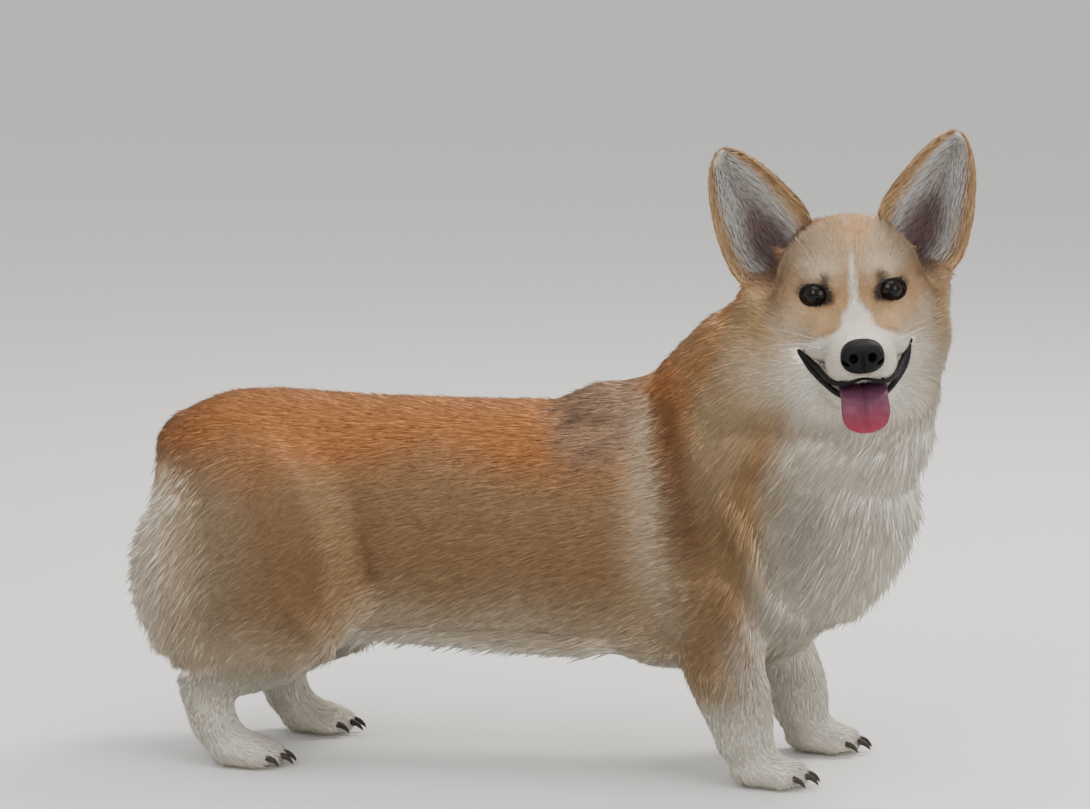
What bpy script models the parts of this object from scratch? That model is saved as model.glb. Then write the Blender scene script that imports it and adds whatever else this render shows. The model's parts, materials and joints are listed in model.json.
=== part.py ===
"""A Pembroke Welsh corgi, life size, standing, with its head turned to its right and its tongue out.

The frame: +X runs from rump to breast, +Y to the dog's left, +Z up, and the paws stand on Z = 0. The flesh and
its coat are modelled whole, from lofts and ellipsoids that a voxel remesh joins and a smoothing blends. They
are then parted with thin cuts into the pieces that a person would name. On the ruff, breast, belly and
culottes the surface is let in first, and flat locks of the long coat grow from that core out to the outline.
Sizes are in centimetres until the meshes are made, and a cut leaves a gap of 0.3 mm.
"""

import math
import random

import bmesh
import bpy
import numpy as np
from mathutils import Euler, Matrix, Vector
from mathutils.bvhtree import BVHTree

CM = 0.01
GAP = 0.03
SIDES = ((1, "left"), (-1, "right"))

# Driving dimensions of the body.
BACK_HEIGHT = 27.3
BELLY_HEIGHT = 8.0
RUMP_X = -25.8
BREAST_X = 29.0
BARREL_HALF_WIDTH = 8.7
STANCE_HALF_WIDTH = 6.0
FORE_WRIST_X = 18.8
HOCK_X = -20.8
FORE_STEP = {1: 2.6, -1: 0.0}
HIND_STEP = {1: 2.6, -1: 0.0}
KNEE_HEIGHT = 8.4
PAW_LENGTH = 3.3
PAW_HALF_WIDTH = 2.3
TOES = 4

# The head's own frame starts half way between the eyes: x to the nose, y to the dog's left, z up.
HEAD_PLACE = (26.85, -8.0, 35.8)
HEAD_TURN = 81.0
HEAD_NOD = 2.0
HEAD_TILT = 4.5
EYE_RADIUS = 1.0
EYE_CENTRE = (-0.78, 2.6, 0.4)
LID_RING = (0.87, 0.72, 0.19)
SKULL_TOP = 5.4
CHEEK_HALF_WIDTH = 7.2
NOSE_HALF_WIDTH = 1.5
UPPER_LIP = [(-1.1, 3.95, -3.2), (1.6, 3.05, -4.3), (4.2, 2.3, -4.95), (6.0, 1.35, -5.0), (6.65, 0.0, -4.6)]
LOWER_LIP = [(-1.0, 3.8, -3.55), (1.6, 2.85, -4.85), (4.0, 1.95, -5.8), (5.4, 0.95, -6.15), (5.75, 0.0, -6.2)]
TONGUE_HALF_WIDTH = 1.64
TONGUE_THICKNESS = 0.55
EAR_THICKNESS = 0.45

# The long coat of the ruff, breast, belly and culottes: how far its core lies in, and the size of its locks.
COAT_DEPTH = 1.1
LOCK_LENGTH = 6.8
LOCK_WIDTH = 3.6
LOCK_THICKNESS = 0.8
LOCK_SPACING = 3.65
LOCK_SEED = 9

# How finely the flesh is modelled: (voxel, blending steps), and its triangles.
BODY_GRAIN = (0.3, 14)
HEAD_GRAIN = (0.2, 12)
BODY_TRIANGLES = 2000
HEAD_TRIANGLES = 1750
JAW_TRIANGLES = 160

FINISHES = {
    "red_coat": ((0.55, 0.27, 0.12, 1), 0.75),
    "cream_coat": ((0.82, 0.74, 0.62, 1), 0.75),
    "nose_leather": ((0.012, 0.012, 0.014, 1), 0.35),
    "eye": ((0.02, 0.012, 0.008, 1), 0.08),
    "tongue": ((0.62, 0.2, 0.24, 1), 0.3),
}


def finish(name):
    """The material of a piece, made once from its colour and roughness."""
    found = bpy.data.materials.get(name)
    if found:
        return found
    colour, roughness = FINISHES[name]
    made = bpy.data.materials.new(name)
    made.use_nodes = True
    shader = made.node_tree.nodes["Principled BSDF"]
    shader.inputs["Base Color"].default_value = colour
    shader.inputs["Roughness"].default_value = roughness
    return made


def head_frame():
    """Where the head's own frame stands in the dog's."""
    turn = Matrix.Rotation(math.radians(-HEAD_TURN), 4, "Z")
    nod = Matrix.Rotation(math.radians(HEAD_NOD), 4, "Y")
    tilt = Matrix.Rotation(math.radians(HEAD_TILT), 4, "X")
    return Matrix.Translation(HEAD_PLACE) @ turn @ nod @ tilt


HEAD = head_frame()


def through(values, steps):
    """Rows read from a smooth Catmull-Rom curve through the rows given."""
    rows = np.array(values, float)
    ends = np.vstack([2 * rows[0] - rows[1], rows, 2 * rows[-1] - rows[-2]])
    found = []
    for t in np.linspace(0, len(rows) - 1, steps):
        i = min(int(t), len(rows) - 2)
        f = t - i
        a, b, c, d = ends[i : i + 4]
        bend = (2 * a - 5 * b + 4 * c - d) * f + (3 * b - a - 3 * c + d) * f**2
        found.append((b + 0.5 * f * (c - a + bend)).tolist())
    return found


def oval(count, power):
    """The corners of a unit superellipse, round at power 2 and boxier above it."""
    turns = np.linspace(0, 2 * math.pi, count, endpoint=False)
    c, s = np.cos(turns), np.sin(turns)
    pairs = np.stack([np.sign(c) * np.abs(c) ** (2 / power), np.sign(s) * np.abs(s) ** (2 / power)], 1)
    return pairs.tolist()


def skin_rings(form, rings, place, tip=None):
    """Joins rings of equal count into a closed tube in the bmesh form, drawn out to a tip if one is given."""
    rows = [[form.verts.new(place @ Vector(point)) for point in ring] for ring in rings]
    count = len(rows[0])
    for low, high in zip(rows, rows[1:]):
        for i in range(count):
            j = (i + 1) % count
            form.faces.new((low[i], low[j], high[j], high[i]))
    for row, first in ((rows[0], True), (rows[-1], False)):
        ends_in_tip = tip is not None and not first
        middle = form.verts.new(place @ tip if ends_in_tip else sum((v.co for v in row), Vector()) / count)
        for i in range(count):
            pair = (row[i], row[(i + 1) % count])
            form.faces.new((*(reversed(pair) if first else pair), middle))


def barrel(form, stations, power=2.2, count=32, steps=28, place=Matrix()):
    """A closed loft along x, from stations of (x, top, bottom, half width)."""
    rings = []
    for x, top, bottom, width in through(stations, steps):
        middle, height = (top + bottom) / 2, (top - bottom) / 2
        rings.append([(x, width * a, middle + height * b) for a, b in oval(count, power)])
    skin_rings(form, rings, place)


def limb(form, stations, count=20, steps=16, place=Matrix(), flat=1.0, across=(0, 1, 0)):
    """A closed tube through stations of (x, y, z, radius), its section flattened square to across."""
    path = through(stations, steps)
    rings = []
    for i, (x, y, z, radius) in enumerate(path):
        ahead = Vector(path[min(i + 1, steps - 1)][:3]) - Vector(path[max(i - 1, 0)][:3])
        up = ahead.cross(Vector(across)).normalized()
        side = up.cross(ahead).normalized()
        rings.append([Vector((x, y, z)) + radius * (a * side + flat * b * up) for a, b in oval(count, 2)])
    skin_rings(form, rings, place)


def ball(form, centre, radii, turn=(0, 0, 0), place=Matrix(), detail=3):
    """An ellipsoid. turn is in degrees about x, y and z."""
    spin = Euler([math.radians(a) for a in turn]).to_matrix().to_4x4()
    matrix = place @ Matrix.Translation(centre) @ spin @ Matrix.Diagonal((*radii, 1))
    bmesh.ops.create_icosphere(form, subdivisions=detail, radius=1, matrix=matrix)


def add_torso(form):
    """The barrel from rump to breast, with the shoulders and the haunches."""
    barrel(
        form,
        [
            (RUMP_X, 21.5, 15.0, 3.6),
            (-24.0, 25.0, 11.5, 6.6),
            (-19.5, BACK_HEIGHT, BELLY_HEIGHT + 0.8, BARREL_HALF_WIDTH - 0.3),
            (-9.0, BACK_HEIGHT - 0.2, BELLY_HEIGHT + 0.4, BARREL_HALF_WIDTH - 0.9),
            (1.0, BACK_HEIGHT - 0.3, BELLY_HEIGHT, BARREL_HALF_WIDTH - 0.3),
            (9.0, BACK_HEIGHT + 0.2, BELLY_HEIGHT - 0.4, BARREL_HALF_WIDTH + 0.1),
            (16.0, BACK_HEIGHT + 0.9, BELLY_HEIGHT - 0.6, BARREL_HALF_WIDTH - 0.1),
            (22.0, BACK_HEIGHT - 1.0, BELLY_HEIGHT + 0.6, BARREL_HALF_WIDTH - 1.4),
            (BREAST_X - 2.2, 23.0, 13.5, 4.8),
            (BREAST_X, 20.0, 17.0, 2.4),
        ],
    )
    for side, _ in SIDES:
        ball(form, (16.3, side * 6.2, 18.2), (5.6, 3.5, 8.0), turn=(0, 20, 0))
        ball(form, (-17.0, side * 5.7, 16.0), (8.4, 4.6, 9.4), turn=(0, -12, 0))
        ball(form, (-20.9, side * 4.9, 14.8), (6.0, 4.5, 7.6), turn=(0, 8, 0))
        ball(form, (-16.2, side * 6.0, 11.6), (7.4, 3.7, 4.6), turn=(0, -8, 0))
    ball(form, (11.0, 0, 24.0), (8.2, 6.0, 4.95))
    ball(form, (-22.6, 0, 20.4), (3.3, 5.6, 5.2))


def add_neck(form):
    """The neck, thick with its ruff, and the full front of the breast under the chin."""
    course = [(14.5, 0, 19.5, 8.6), (18.8, -0.3, 24.5, 8.7), (22.9, -1.0, 29.5, 8.1), (25.0, -2.0, 33.5, 6.6)]
    limb(form, course)
    ball(form, (23.6, -0.8, 21.3), (7.8, 7.6, 10.2), turn=(0, 4, 0))
    ball(form, (26.1, -1.8, 28.0), (6.8, 7.2, 7.5))


def add_paw(form, x, y):
    """An oval paw of a pad and its toes, the middle two ahead. Its underside is trimmed to the floor later."""
    ball(form, (x, y, 1.3), (PAW_LENGTH * 0.75, PAW_HALF_WIDTH, 1.5))
    for toe in range(TOES):
        spread = 2 * toe / (TOES - 1) - 1
        ahead = PAW_LENGTH * (0.78 - 0.28 * spread**2)
        ball(form, (x + ahead, y + spread * 1.55, 0.95), (1.35, 0.8, 1.15), turn=(0, 0, 10 * spread))


def add_foreleg(form, side):
    """A short foreleg, from the elbow to the paw. The left one stands a little ahead."""
    y, step = side * STANCE_HALF_WIDTH, FORE_STEP[side]
    elbow = (17.2 + 0.5 * step, y * 1.05, 10.5, 3.3)
    wrist = (FORE_WRIST_X + step, y, 4.8, 2.45)
    limb(form, [(16.2, y * 1.05, 15.5, 3.9), elbow, wrist, (wrist[0] + 0.4, y, 2.4, 2.1)])
    add_paw(form, wrist[0] + 1.4, y)


def add_hindleg(form, side):
    """A hind leg, from the stifle over the hock to the paw."""
    y, hock = side * STANCE_HALF_WIDTH, HOCK_X + HIND_STEP[side]
    limb(form, [(-12.6, y * 1.08, 12.5, 4.0), (hock + 4.2, y * 1.04, 9.4, 3.6), (hock, y, 7.0, 2.4)])
    limb(form, [(hock - 0.2, y, 7.4, 2.3), (hock, y, 4.8, 1.95), (hock + 0.8, y, 2.2, 1.85)])
    add_paw(form, hock + 2.2, y)


def add_head(form):
    """The skull, brows, ear roots, furred cheeks and muzzle, in the head's own frame."""
    ball(form, (-4.8, 0, 0.6), (5.4, 5.3, SKULL_TOP - 0.6), place=HEAD)
    ball(form, (-6.8, 0, -1.5), (4.6, 5.6, 5.0), place=HEAD)
    barrel(
        form,
        [
            (-3.0, 1.0, -4.5, 4.3),
            (-0.6, 0.5, -4.1, 3.5),
            (1.5, -0.8, -4.5, 2.9),
            (3.6, -1.4, -4.9, 2.5),
            (5.6, -1.8, -5.1, 2.15),
            (6.7, -2.2, -4.8, 1.7),
        ],
        power=2.3,
        place=HEAD,
    )
    for side, _ in SIDES:
        ball(form, (-3.6, side * 3.5, -1.4), (3.6, 2.5, 3.4), place=HEAD)
        ball(form, (-5.4, side * (CHEEK_HALF_WIDTH - 3.0), -3.4), (3.8, 3.0, 3.9), place=HEAD)
        ball(form, (-1.2, side * 1.9, 1.2), (1.7, 1.6, 1.2), place=HEAD)
        ball(form, (4.4, side * 1.2, -3.8), (2.2, 1.35, 1.45), turn=(0, 12, -side * 8), place=HEAD)
        ball(form, (-8.6, side * 4.2, 0.6), (2.2, 2.4, 2.8), turn=(-side * 30, 0, 0), place=HEAD)
        ball(form, (0.6, side * 2.7, -2.5), (2.4, 1.2, 1.7), turn=(0, 8, -side * 12), place=HEAD)
        ball(form, (-6.8, side * 4.8, -1.3), (2.9, 2.5, 2.5), place=HEAD)


def add_jaw(form):
    """The lower jaw, dropped open under the muzzle."""
    barrel(
        form,
        [
            (-1.8, -3.8, -7.0, 3.1),
            (-0.5, -3.5, -7.2, 3.3),
            (1.8, -4.85, -7.5, 2.75),
            (4.0, -5.65, -7.4, 2.0),
            (5.6, -6.2, -7.1, 1.0),
        ],
        power=2.3,
        place=HEAD,
    )


def add_nose(form):
    """The nose leather, a little wider above than below."""
    half = NOSE_HALF_WIDTH
    stations = [(5.8, -2.0, -3.9, 0.8 * half), (6.6, -1.8, -4.2, half), (7.4, -2.0, -4.1, 0.97 * half)]
    stations.append((7.8, -2.45, -3.8, 0.6 * half))
    barrel(form, stations, power=2.5, count=14, steps=6, place=HEAD)


def add_nostrils(form):
    """The hollows of the nostrils, each with its slit to the side."""
    for side, _ in SIDES:
        round_part = ((7.7, side * 0.68, -3.05), (0.7, 0.3, 0.34), (0, 0, side * 18))
        slit = ((7.35, side * 1.25, -3.3), (0.7, 0.42, 0.15), (side * 18, 0, side * 38))
        ball(form, *round_part, place=HEAD, detail=2)
        ball(form, *slit, place=HEAD, detail=1)


def add_tongue(form):
    """The tongue, out over the lower lip and hanging, with a shallow trough along it."""
    wide = TONGUE_HALF_WIDTH
    stations = [(1.4, 0, -4.75, 0.85 * wide), (4.3, 0, -5.35, wide), (6.1, 0, -6.0, wide)]
    stations += [(6.75, 0, -7.1, 1.0 * wide), (6.6, 0, -8.0, 0.78 * wide), (6.5, 0, -8.4, 0.3 * wide)]
    limb(form, stations, count=12, steps=11, place=HEAD, flat=TONGUE_THICKNESS / 2 / wide)


def add_lip(form, line, radius):
    """A dark lip along both sides of the mouth and round its front."""
    path = [(x, -y, z) for x, y, z in line] + [point for point in reversed(line[:-1])]
    taper = [0.45] + [1.0] * (len(path) - 2) + [0.45]
    stations = [(*point, radius * t) for point, t in zip(path, taper)]
    limb(form, stations, count=5, steps=19, place=HEAD, across=(0.6, 0, 1))


def gaze(side):
    """Where an eye stands, with x ahead along its gaze."""
    x, y, z = EYE_CENTRE
    return HEAD @ Matrix.Translation((x, side * y, z)) @ Matrix.Rotation(math.radians(side * 14), 4, "Z")


def add_eye(form, side):
    """An eyeball, with its poles along its gaze."""
    turn = Matrix.Rotation(math.radians(90), 4, "Y")
    bmesh.ops.create_uvsphere(form, u_segments=14, v_segments=8, radius=EYE_RADIUS, matrix=gaze(side) @ turn)


def add_lids(form, side):
    """The rim of the lids round the opening of an eye."""
    wide, high, radius = LID_RING
    rows, count, around = [], 14, 5
    for i in range(count):
        t = 2 * math.pi * i / count
        c, s = math.cos(t), math.sin(t)
        ring = []
        for a, b in oval(around, 2):
            out = 1 + radius * a / wide
            ring.append(gaze(side) @ Vector((0.62 + radius * b - 0.12 * c * c, wide * c * out, high * s * out)))
        rows.append([form.verts.new(point) for point in ring])
    for i in range(count):
        low, high_row = rows[i], rows[(i + 1) % count]
        for k in range(around):
            m = (k + 1) % around
            form.faces.new((low[k], low[m], high_row[m], high_row[k]))


# What is cut out of the ruff as the head: an ellipsoid's centre and radii, in the head's own frame.
HEAD_POD = ((-2.6, 0, 0.4), (9.7, 9.3, 8.3))

# An ear seen from ahead, from its root to its tip: (inner edge, outer edge, x of the edges, depth of the cup).
EAR_ROWS = [
    ((2.1, 3.9), (6.2, -0.6), -6.0, 2.6),
    ((2.6, 5.7), (8.0, 1.0), -5.7, 2.7),
    ((3.6, 7.15), (9.05, 3.8), -5.4, 2.5),
    ((4.75, 8.45), (9.45, 6.3), -5.3, 2.1),
    ((5.85, 9.5), (9.5, 8.0), -5.3, 1.6),
    ((6.8, 10.2), (9.3, 9.3), -5.35, 1.0),
    ((7.45, 10.5), (8.9, 10.1), -5.4, 0.5),
    ((7.85, 10.65), (8.5, 10.5), -5.45, 0.25),
]


def add_ear(form, side):
    """A cupped ear, open ahead: its back bulges between two edges, and a wall follows inside."""
    rows = through([(*inner, *outer, x, depth) for inner, outer, x, depth in EAR_ROWS], 13)
    rings = []
    for iy, iz, oy, oz, x, depth in rows:
        thick = min(EAR_THICKNESS, 0.45 * math.hypot(oy - iy, oz - iz))
        ring = []
        for wall, spread in ((0.0, np.linspace(0, 1, 8)), (thick, np.linspace(0.96, 0.04, 6))):
            for u in spread.tolist():
                bulge = math.sin(math.pi * min(max(u, 0), 1)) ** 0.75
                y, z = iy + (oy - iy) * u, iz + (oz - iz) * u
                ahead = 0.3 if wall else 0.0
                back = 0.8 * u + max(depth - wall, 0.05) * bulge
                ring.append(HEAD @ Vector((x + ahead - back, side * y, z)))
        rings.append(ring)
    skin_rings(form, rings, Matrix())


def add_tail(form):
    """The short stub of the tail, laid down over the rump."""
    course = [(-20.5, 0, 25.2, 1.0), (-22.6, 0, 25.3, 1.7), (-24.8, 0, 23.6, 1.7), (-26.0, 0, 21.2, 0.7)]
    limb(form, course, 10, 8)


def add_claws(form, x, y):
    """The claws of a paw, one ahead of each toe."""
    for toe in range(TOES):
        spread = 2 * toe / (TOES - 1) - 1
        ahead = x + PAW_LENGTH * (0.78 - 0.28 * spread**2) + 0.9
        side = y + spread * 1.7
        claw = [(ahead, side, 1.0, 0.3), (ahead + 0.6, side, 0.85, 0.24), (ahead + 1.0, side, 0.35, 0.07)]
        limb(form, claw, 4, 3)


def guide(mesh, name):
    """A helper object that holds a mesh while modifiers work on it."""
    made = bpy.data.objects.new(name, mesh)
    bpy.context.scene.collection.objects.link(made)
    return made


def baked(helper):
    """The evaluated mesh of a helper object, which is then removed."""
    bpy.context.view_layer.update()
    graph = bpy.context.evaluated_depsgraph_get()
    mesh = bpy.data.meshes.new_from_object(helper.evaluated_get(graph))
    bpy.data.objects.remove(helper)
    return mesh


def mesh_of(form, name="piece"):
    """A mesh in metres of a bmesh in centimetres, with its faces out."""
    bmesh.ops.recalc_face_normals(form, faces=form.faces)
    bmesh.ops.scale(form, vec=(CM, CM, CM), verts=form.verts)
    mesh = bpy.data.meshes.new(name)
    form.to_mesh(mesh)
    form.free()
    return mesh


def thinned(mesh, triangles):
    """The mesh with its triangles brought down to about the number given."""
    helper = guide(mesh, "thinning")
    thin = helper.modifiers.new("thin", "DECIMATE")
    thin.ratio = triangles / sum(len(face.vertices) - 2 for face in mesh.polygons)
    return baked(helper)


def remeshed(mesh, voxel, steps):
    """One closed surface round all of the mesh, smoothed over a number of steps."""
    helper = guide(mesh, "whole")
    remesh = helper.modifiers.new("blend", "REMESH")
    remesh.mode = "VOXEL"
    remesh.voxel_size = voxel * CM
    soften = helper.modifiers.new("soften", "SMOOTH")
    soften.factor = 0.5
    soften.iterations = steps
    return baked(helper)


def blended(parts, voxel, steps):
    """The parts, which are functions that add to a bmesh, blended into one closed surface."""
    form = bmesh.new()
    for add, *sizes in parts:
        add(form, *sizes)
    return remeshed(mesh_of(form), voxel, steps)


def joined(mesh, other, operation, solver="EXACT"):
    """A Boolean of two closed meshes, which keeps only the largest closed surface."""
    helper, tool = guide(mesh, "joining"), guide(other, "tool")
    boolean = helper.modifiers.new("boolean", "BOOLEAN")
    boolean.operation = operation
    boolean.solver = solver
    boolean.object = tool
    made = baked(helper)
    bpy.data.objects.remove(tool)
    return largest(made)


def largest(mesh):
    """The mesh with only its largest connected surface."""
    form = bmesh.new()
    form.from_mesh(mesh)
    left, shells = set(form.verts), []
    while left:
        seen, edge = set(), {left.pop()}
        while edge:
            seen |= edge
            edge = {e.other_vert(v) for v in edge for e in v.link_edges} - seen
        left -= seen
        shells.append(seen)
    shells.sort(key=len)
    for shell in shells[:-1]:
        bmesh.ops.delete(form, geom=list(shell), context="VERTS")
    form.to_mesh(mesh)
    form.free()
    return mesh


def block(point, normal, reach, grow=0.0, place=Matrix()):
    """A box whose one face lies on the plane through point, and which reaches away along normal."""
    form = bmesh.new()
    ahead = Vector(normal).normalized()
    spin = ahead.to_track_quat("Z", "Y").to_matrix().to_4x4()
    matrix = place @ Matrix.Translation(Vector(point) - grow * ahead) @ spin
    size = Matrix.Diagonal((reach, reach, reach, 1)) @ Matrix.Translation((0, 0, 0.5))
    bmesh.ops.create_cube(form, size=1, matrix=matrix @ size)
    return mesh_of(form)


def pod(centre, radii, grow=0.0, turn=(0, 0, 0), place=Matrix(), detail=3):
    """An ellipsoid to cut with, each radius larger by grow."""
    form = bmesh.new()
    ball(form, centre, [r + grow for r in radii], turn, place, detail)
    return mesh_of(form)


def stack(stations, side, grow=0.0):
    """Level ellipses (z, x, y, x radius, y radius) joined upwards into a form to cut with."""
    form = bmesh.new()
    rings = []
    for z, x, y, wide, deep in through(stations, 2 * len(stations)):
        rings.append([(x + (wide + grow) * a, side * y + (deep + grow) * b, z) for a, b in oval(16, 2.4)])
    lift = Matrix.Translation((0, 0, grow))
    skin_rings(form, rings, lift)
    return mesh_of(form)


def node(name, mesh, look):
    """A finished piece of the dog."""
    made = guide(mesh, name)
    mesh.name = name
    mesh.materials.clear()
    mesh.materials.append(finish(look))
    mesh.shade_smooth()
    mesh.set_sharp_from_angle(angle=math.radians(40))
    return made


def cut_off(rest, cell):
    """The piece of rest inside a cell, and what is left beyond a gap. cell(growth) makes the cell's mesh."""
    piece = joined(rest.copy(), cell(0.0), "INTERSECT")
    return piece, joined(rest, cell(GAP), "DIFFERENCE")


def shape(add, *sizes):
    """The mesh of one part, whose function adds it to a bmesh."""
    form = bmesh.new()
    add(form, *sizes)
    return mesh_of(form)


def grown(mesh, by=GAP):
    """A copy of the mesh with its surface moved out."""
    helper = guide(mesh.copy(), "grown")
    swell = helper.modifiers.new("swell", "DISPLACE")
    swell.strength = by * CM
    swell.mid_level = 0
    return baked(helper)


def seated(host, guest):
    """The host with room for the guest and its gap."""
    return joined(host, grown(guest), "DIFFERENCE")


def head_cell(grow):
    """The head down to its throat, out of the ruff."""
    form = bmesh.new()
    low, high = -6.7 - grow, 4.0 + grow
    barrel(form, [(-1.5, high, low, 4.6 + grow), (10.0, high, low, 4.6 + grow)], 3, 16, 4, HEAD)
    return joined(pod(*HEAD_POD, grow, place=HEAD), mesh_of(form), "UNION")


def neck_cell(grow):
    """All above a plane from the withers to the breast."""
    return block((22.5, 0, 23.8), (0.457, 0, 0.889), 44, grow)


def socket_cell(side):
    """A shallow dish in which an eye and its lids lie."""
    return pod((1.75, 0, 0), (1.75, 1.25, 1.02), place=gaze(side))


# Level sections of what is cut off as a leg, from under the floor up: (z, x, y, x radius, y radius).
FORE_CELL = [(-1.5, 21.0, 6.8, 8.0, 4.3), (3.0, 20.0, 6.9, 7.0, 4.4), (9.0, 18.0, 8.4, 5.4, 5.0)]
HIND_CELL = [(-1.5, -17.5, 6.8, 8.0, 4.3), (3.0, -17.8, 6.9, 7.6, 4.4), (9.0, -18.0, 7.8, 8.4, 4.8)]


def floor_cell():
    """What the flats under the paws cut away."""
    return block((0, 0, 0), (0, 0, -1), 80)


def ramp(value, low, high):
    """0 below low, 1 above high, and smooth between them."""
    t = min(max((value - low) / (high - low), 0), 1)
    return t * t * (3 - 2 * t)


def long_coat(point):
    """How much of the long coat grows at a point, from 0 to 1."""
    x, y, z = point
    ruff = ramp(x + 0.45 * z, 26.0, 30.0) * ramp(z, 11.0, 14.0) * ramp(0.9 * (x - 14) - z, -25.0, -21.0)
    culottes = ramp(-x - 0.25 * abs(z - 15), 18.0, 22.0) * ramp(z, 8.0, 10.5) * ramp(-z, -24.0, -21.5)
    fringe = ramp(-z, -11.5, -9.5) * ramp(z, 6.0, 7.0) * ramp(x, -13.0, -9.0) * ramp(-x, -13.0, -9.0)
    centre, radii = HEAD_POD
    seen = HEAD.inverted() @ Vector(point)
    off_head = Vector([(a - b) / r for a, b, r in zip(seen, centre, radii)]).length - 1
    return max(ruff * ramp(off_head, 0.0, 0.2), culottes, fringe * ramp(-abs(y), -8.5, -7.0))


def lie(point):
    """Which way the long coat lies: down and back over the ruff and culottes, and back along the belly."""
    x, y, z = point
    if z < 12.5 and abs(x) < 14:
        return Vector((-1.0, 0.1 * y, -0.55))
    if x < 0:
        return Vector((-0.35, 0.03 * y, -1.0))
    return Vector((-0.45 * ramp(abs(y), 2.0, 8.0), 0.02 * y, -1.0))


def lowered(mesh):
    """The mesh with its surface let in under the long coat, as the core that the locks grow from."""
    form = bmesh.new()
    form.from_mesh(mesh)
    form.normal_update()
    for v in form.verts:
        v.co -= COAT_DEPTH * CM * long_coat(v.co / CM) * v.normal
    form.to_mesh(mesh)
    form.free()
    return mesh


def lock_roots(mesh):
    """Points spread evenly over the long coat on the outer outline, in a drawn order, each with its normal."""
    draw = random.Random(LOCK_SEED)
    tree = BVHTree.FromPolygons([v.co / CM for v in mesh.vertices], [f.vertices[:] for f in mesh.polygons])
    chosen = []
    for _ in range(60000):
        start = Vector((draw.uniform(-30, 34), draw.uniform(-13, 13), draw.uniform(6, 40)))
        found, normal, _, distance = tree.find_nearest(start)
        if distance > 1.2 or draw.random() > long_coat(found) or long_coat(found) < 0.4:
            continue
        if all((found - other).length > LOCK_SPACING for other, _ in chosen):
            chosen.append((found, normal))
    return chosen, tree


# Along a lock: (how far along, how deep under the outline, share of its width, share of its thickness).
LOCK_SECTIONS = ((0.0, 2.0, 0.5, 0.9), (0.36, 0.75, 1.0, 1.0), (0.74, 0.35, 0.62, 0.7))


def zone(mesh):
    """A test of whether a point lies inside a closed convex mesh."""
    tree = BVHTree.FromPolygons([v.co / CM for v in mesh.vertices], [f.vertices[:] for f in mesh.polygons])

    def holds(point):
        near, normal, _, _ = tree.find_nearest(point)
        return (point - near).dot(normal) < 0

    return holds


def add_lock(form, root, normal, tree, belongs, draw):
    """A flat, tapered lock, bent along the outline from a root sunk in the core to a tip at the outline."""
    length = LOCK_LENGTH * draw.uniform(0.8, 1.15)
    width, thick = LOCK_WIDTH * draw.uniform(0.85, 1.15), LOCK_THICKNESS * draw.uniform(0.8, 1.1)
    course = lie(root)
    course = (course - course.dot(normal) * normal).normalized()
    course = (course + draw.uniform(-0.18, 0.18) * normal.cross(course)).normalized()
    while length > 1.5 and not belongs(root + course * length):
        length -= 0.4
    rings = []
    for t, sink, wide, deep in LOCK_SECTIONS:
        near, out, _, _ = tree.find_nearest(root + course * length * t)
        middle = near - out * sink
        side = out.cross(course).normalized()
        section = ((1, 0), (0.1, 0.5), (-1, 0), (-0.1, -0.5))
        rings.append([middle + side * a * wide * width / 2 + out * b * deep * thick for a, b in section])
    tip, out, _, _ = tree.find_nearest(root + course * length)
    skin_rings(form, rings, Matrix(), tip)


def with_locks(mesh, roots, tree, belongs, seed):
    """The node's mesh joined with the locks whose roots belong to it."""
    draw = random.Random(seed)
    tool = bpy.data.collections.new("locks")
    for root, normal in roots:
        if belongs(root):
            lock = guide(shape(add_lock, root, normal, tree, belongs, draw), "lock")
            tool.objects.link(lock)
    helper = guide(mesh, "core")
    union = helper.modifiers.new("union", "BOOLEAN")
    union.operation = "UNION"
    union.operand_type = "COLLECTION"
    union.collection = tool
    union.solver = "MANIFOLD"
    made = baked(helper)
    for lock in list(tool.objects):
        bpy.data.objects.remove(lock)
    bpy.data.collections.remove(tool)
    return largest(made)


for old in list(bpy.data.objects):
    bpy.data.objects.remove(old)

LEGS = [(add, side) for add in (add_foreleg, add_hindleg) for side, _ in SIDES]
whole = blended([(add_torso,), (add_neck,), (add_head,), *LEGS], *BODY_GRAIN)
roots, outline = lock_roots(whole)
rest = thinned(remeshed(lowered(whole), BODY_GRAIN[0], 2), BODY_TRIANGLES)
rest = joined(rest, floor_cell(), "DIFFERENCE")
head = thinned(blended([(add_neck,), (add_head,)], *HEAD_GRAIN), HEAD_TRIANGLES)
head = joined(head, head_cell(0), "INTERSECT")
rest = joined(rest, head_cell(GAP), "DIFFERENCE")
neck, rest = cut_off(rest, neck_cell)

jaw = thinned(blended([(add_jaw,)], 0.2, 8), JAW_TRIANGLES)
nose = joined(shape(add_nose), shape(add_nostrils), "DIFFERENCE")
tongue = shape(add_tongue)
upper_lip = shape(add_lip, UPPER_LIP, 0.25)
lower_lip = shape(add_lip, LOWER_LIP, 0.22)
tail = shape(add_tail)

upper_lip = seated(upper_lip, tongue)
lower_lip = seated(seated(lower_lip, tongue), upper_lip)
jaw = seated(seated(seated(jaw, tongue), upper_lip), lower_lip)
neck = seated(neck, jaw)
for guest in (jaw, upper_lip, lower_lip, tongue, nose):
    head = seated(head, guest)
nose = joined(nose, grown(upper_lip), "DIFFERENCE")
rest = seated(rest, tail)

for side, name in SIDES:
    eye = shape(add_eye, side)
    lids = seated(shape(add_lids, side), eye)
    head = seated(seated(joined(head, socket_cell(side), "DIFFERENCE"), eye), lids)
    node(f"eye_{name}", eye, "eye")
    node(f"lids_{name}", lids, "nose_leather")
for side, name in SIDES:
    ear = seated(shape(add_ear, side), head)
    node(f"ear_{name}", ear, "red_coat")

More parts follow.
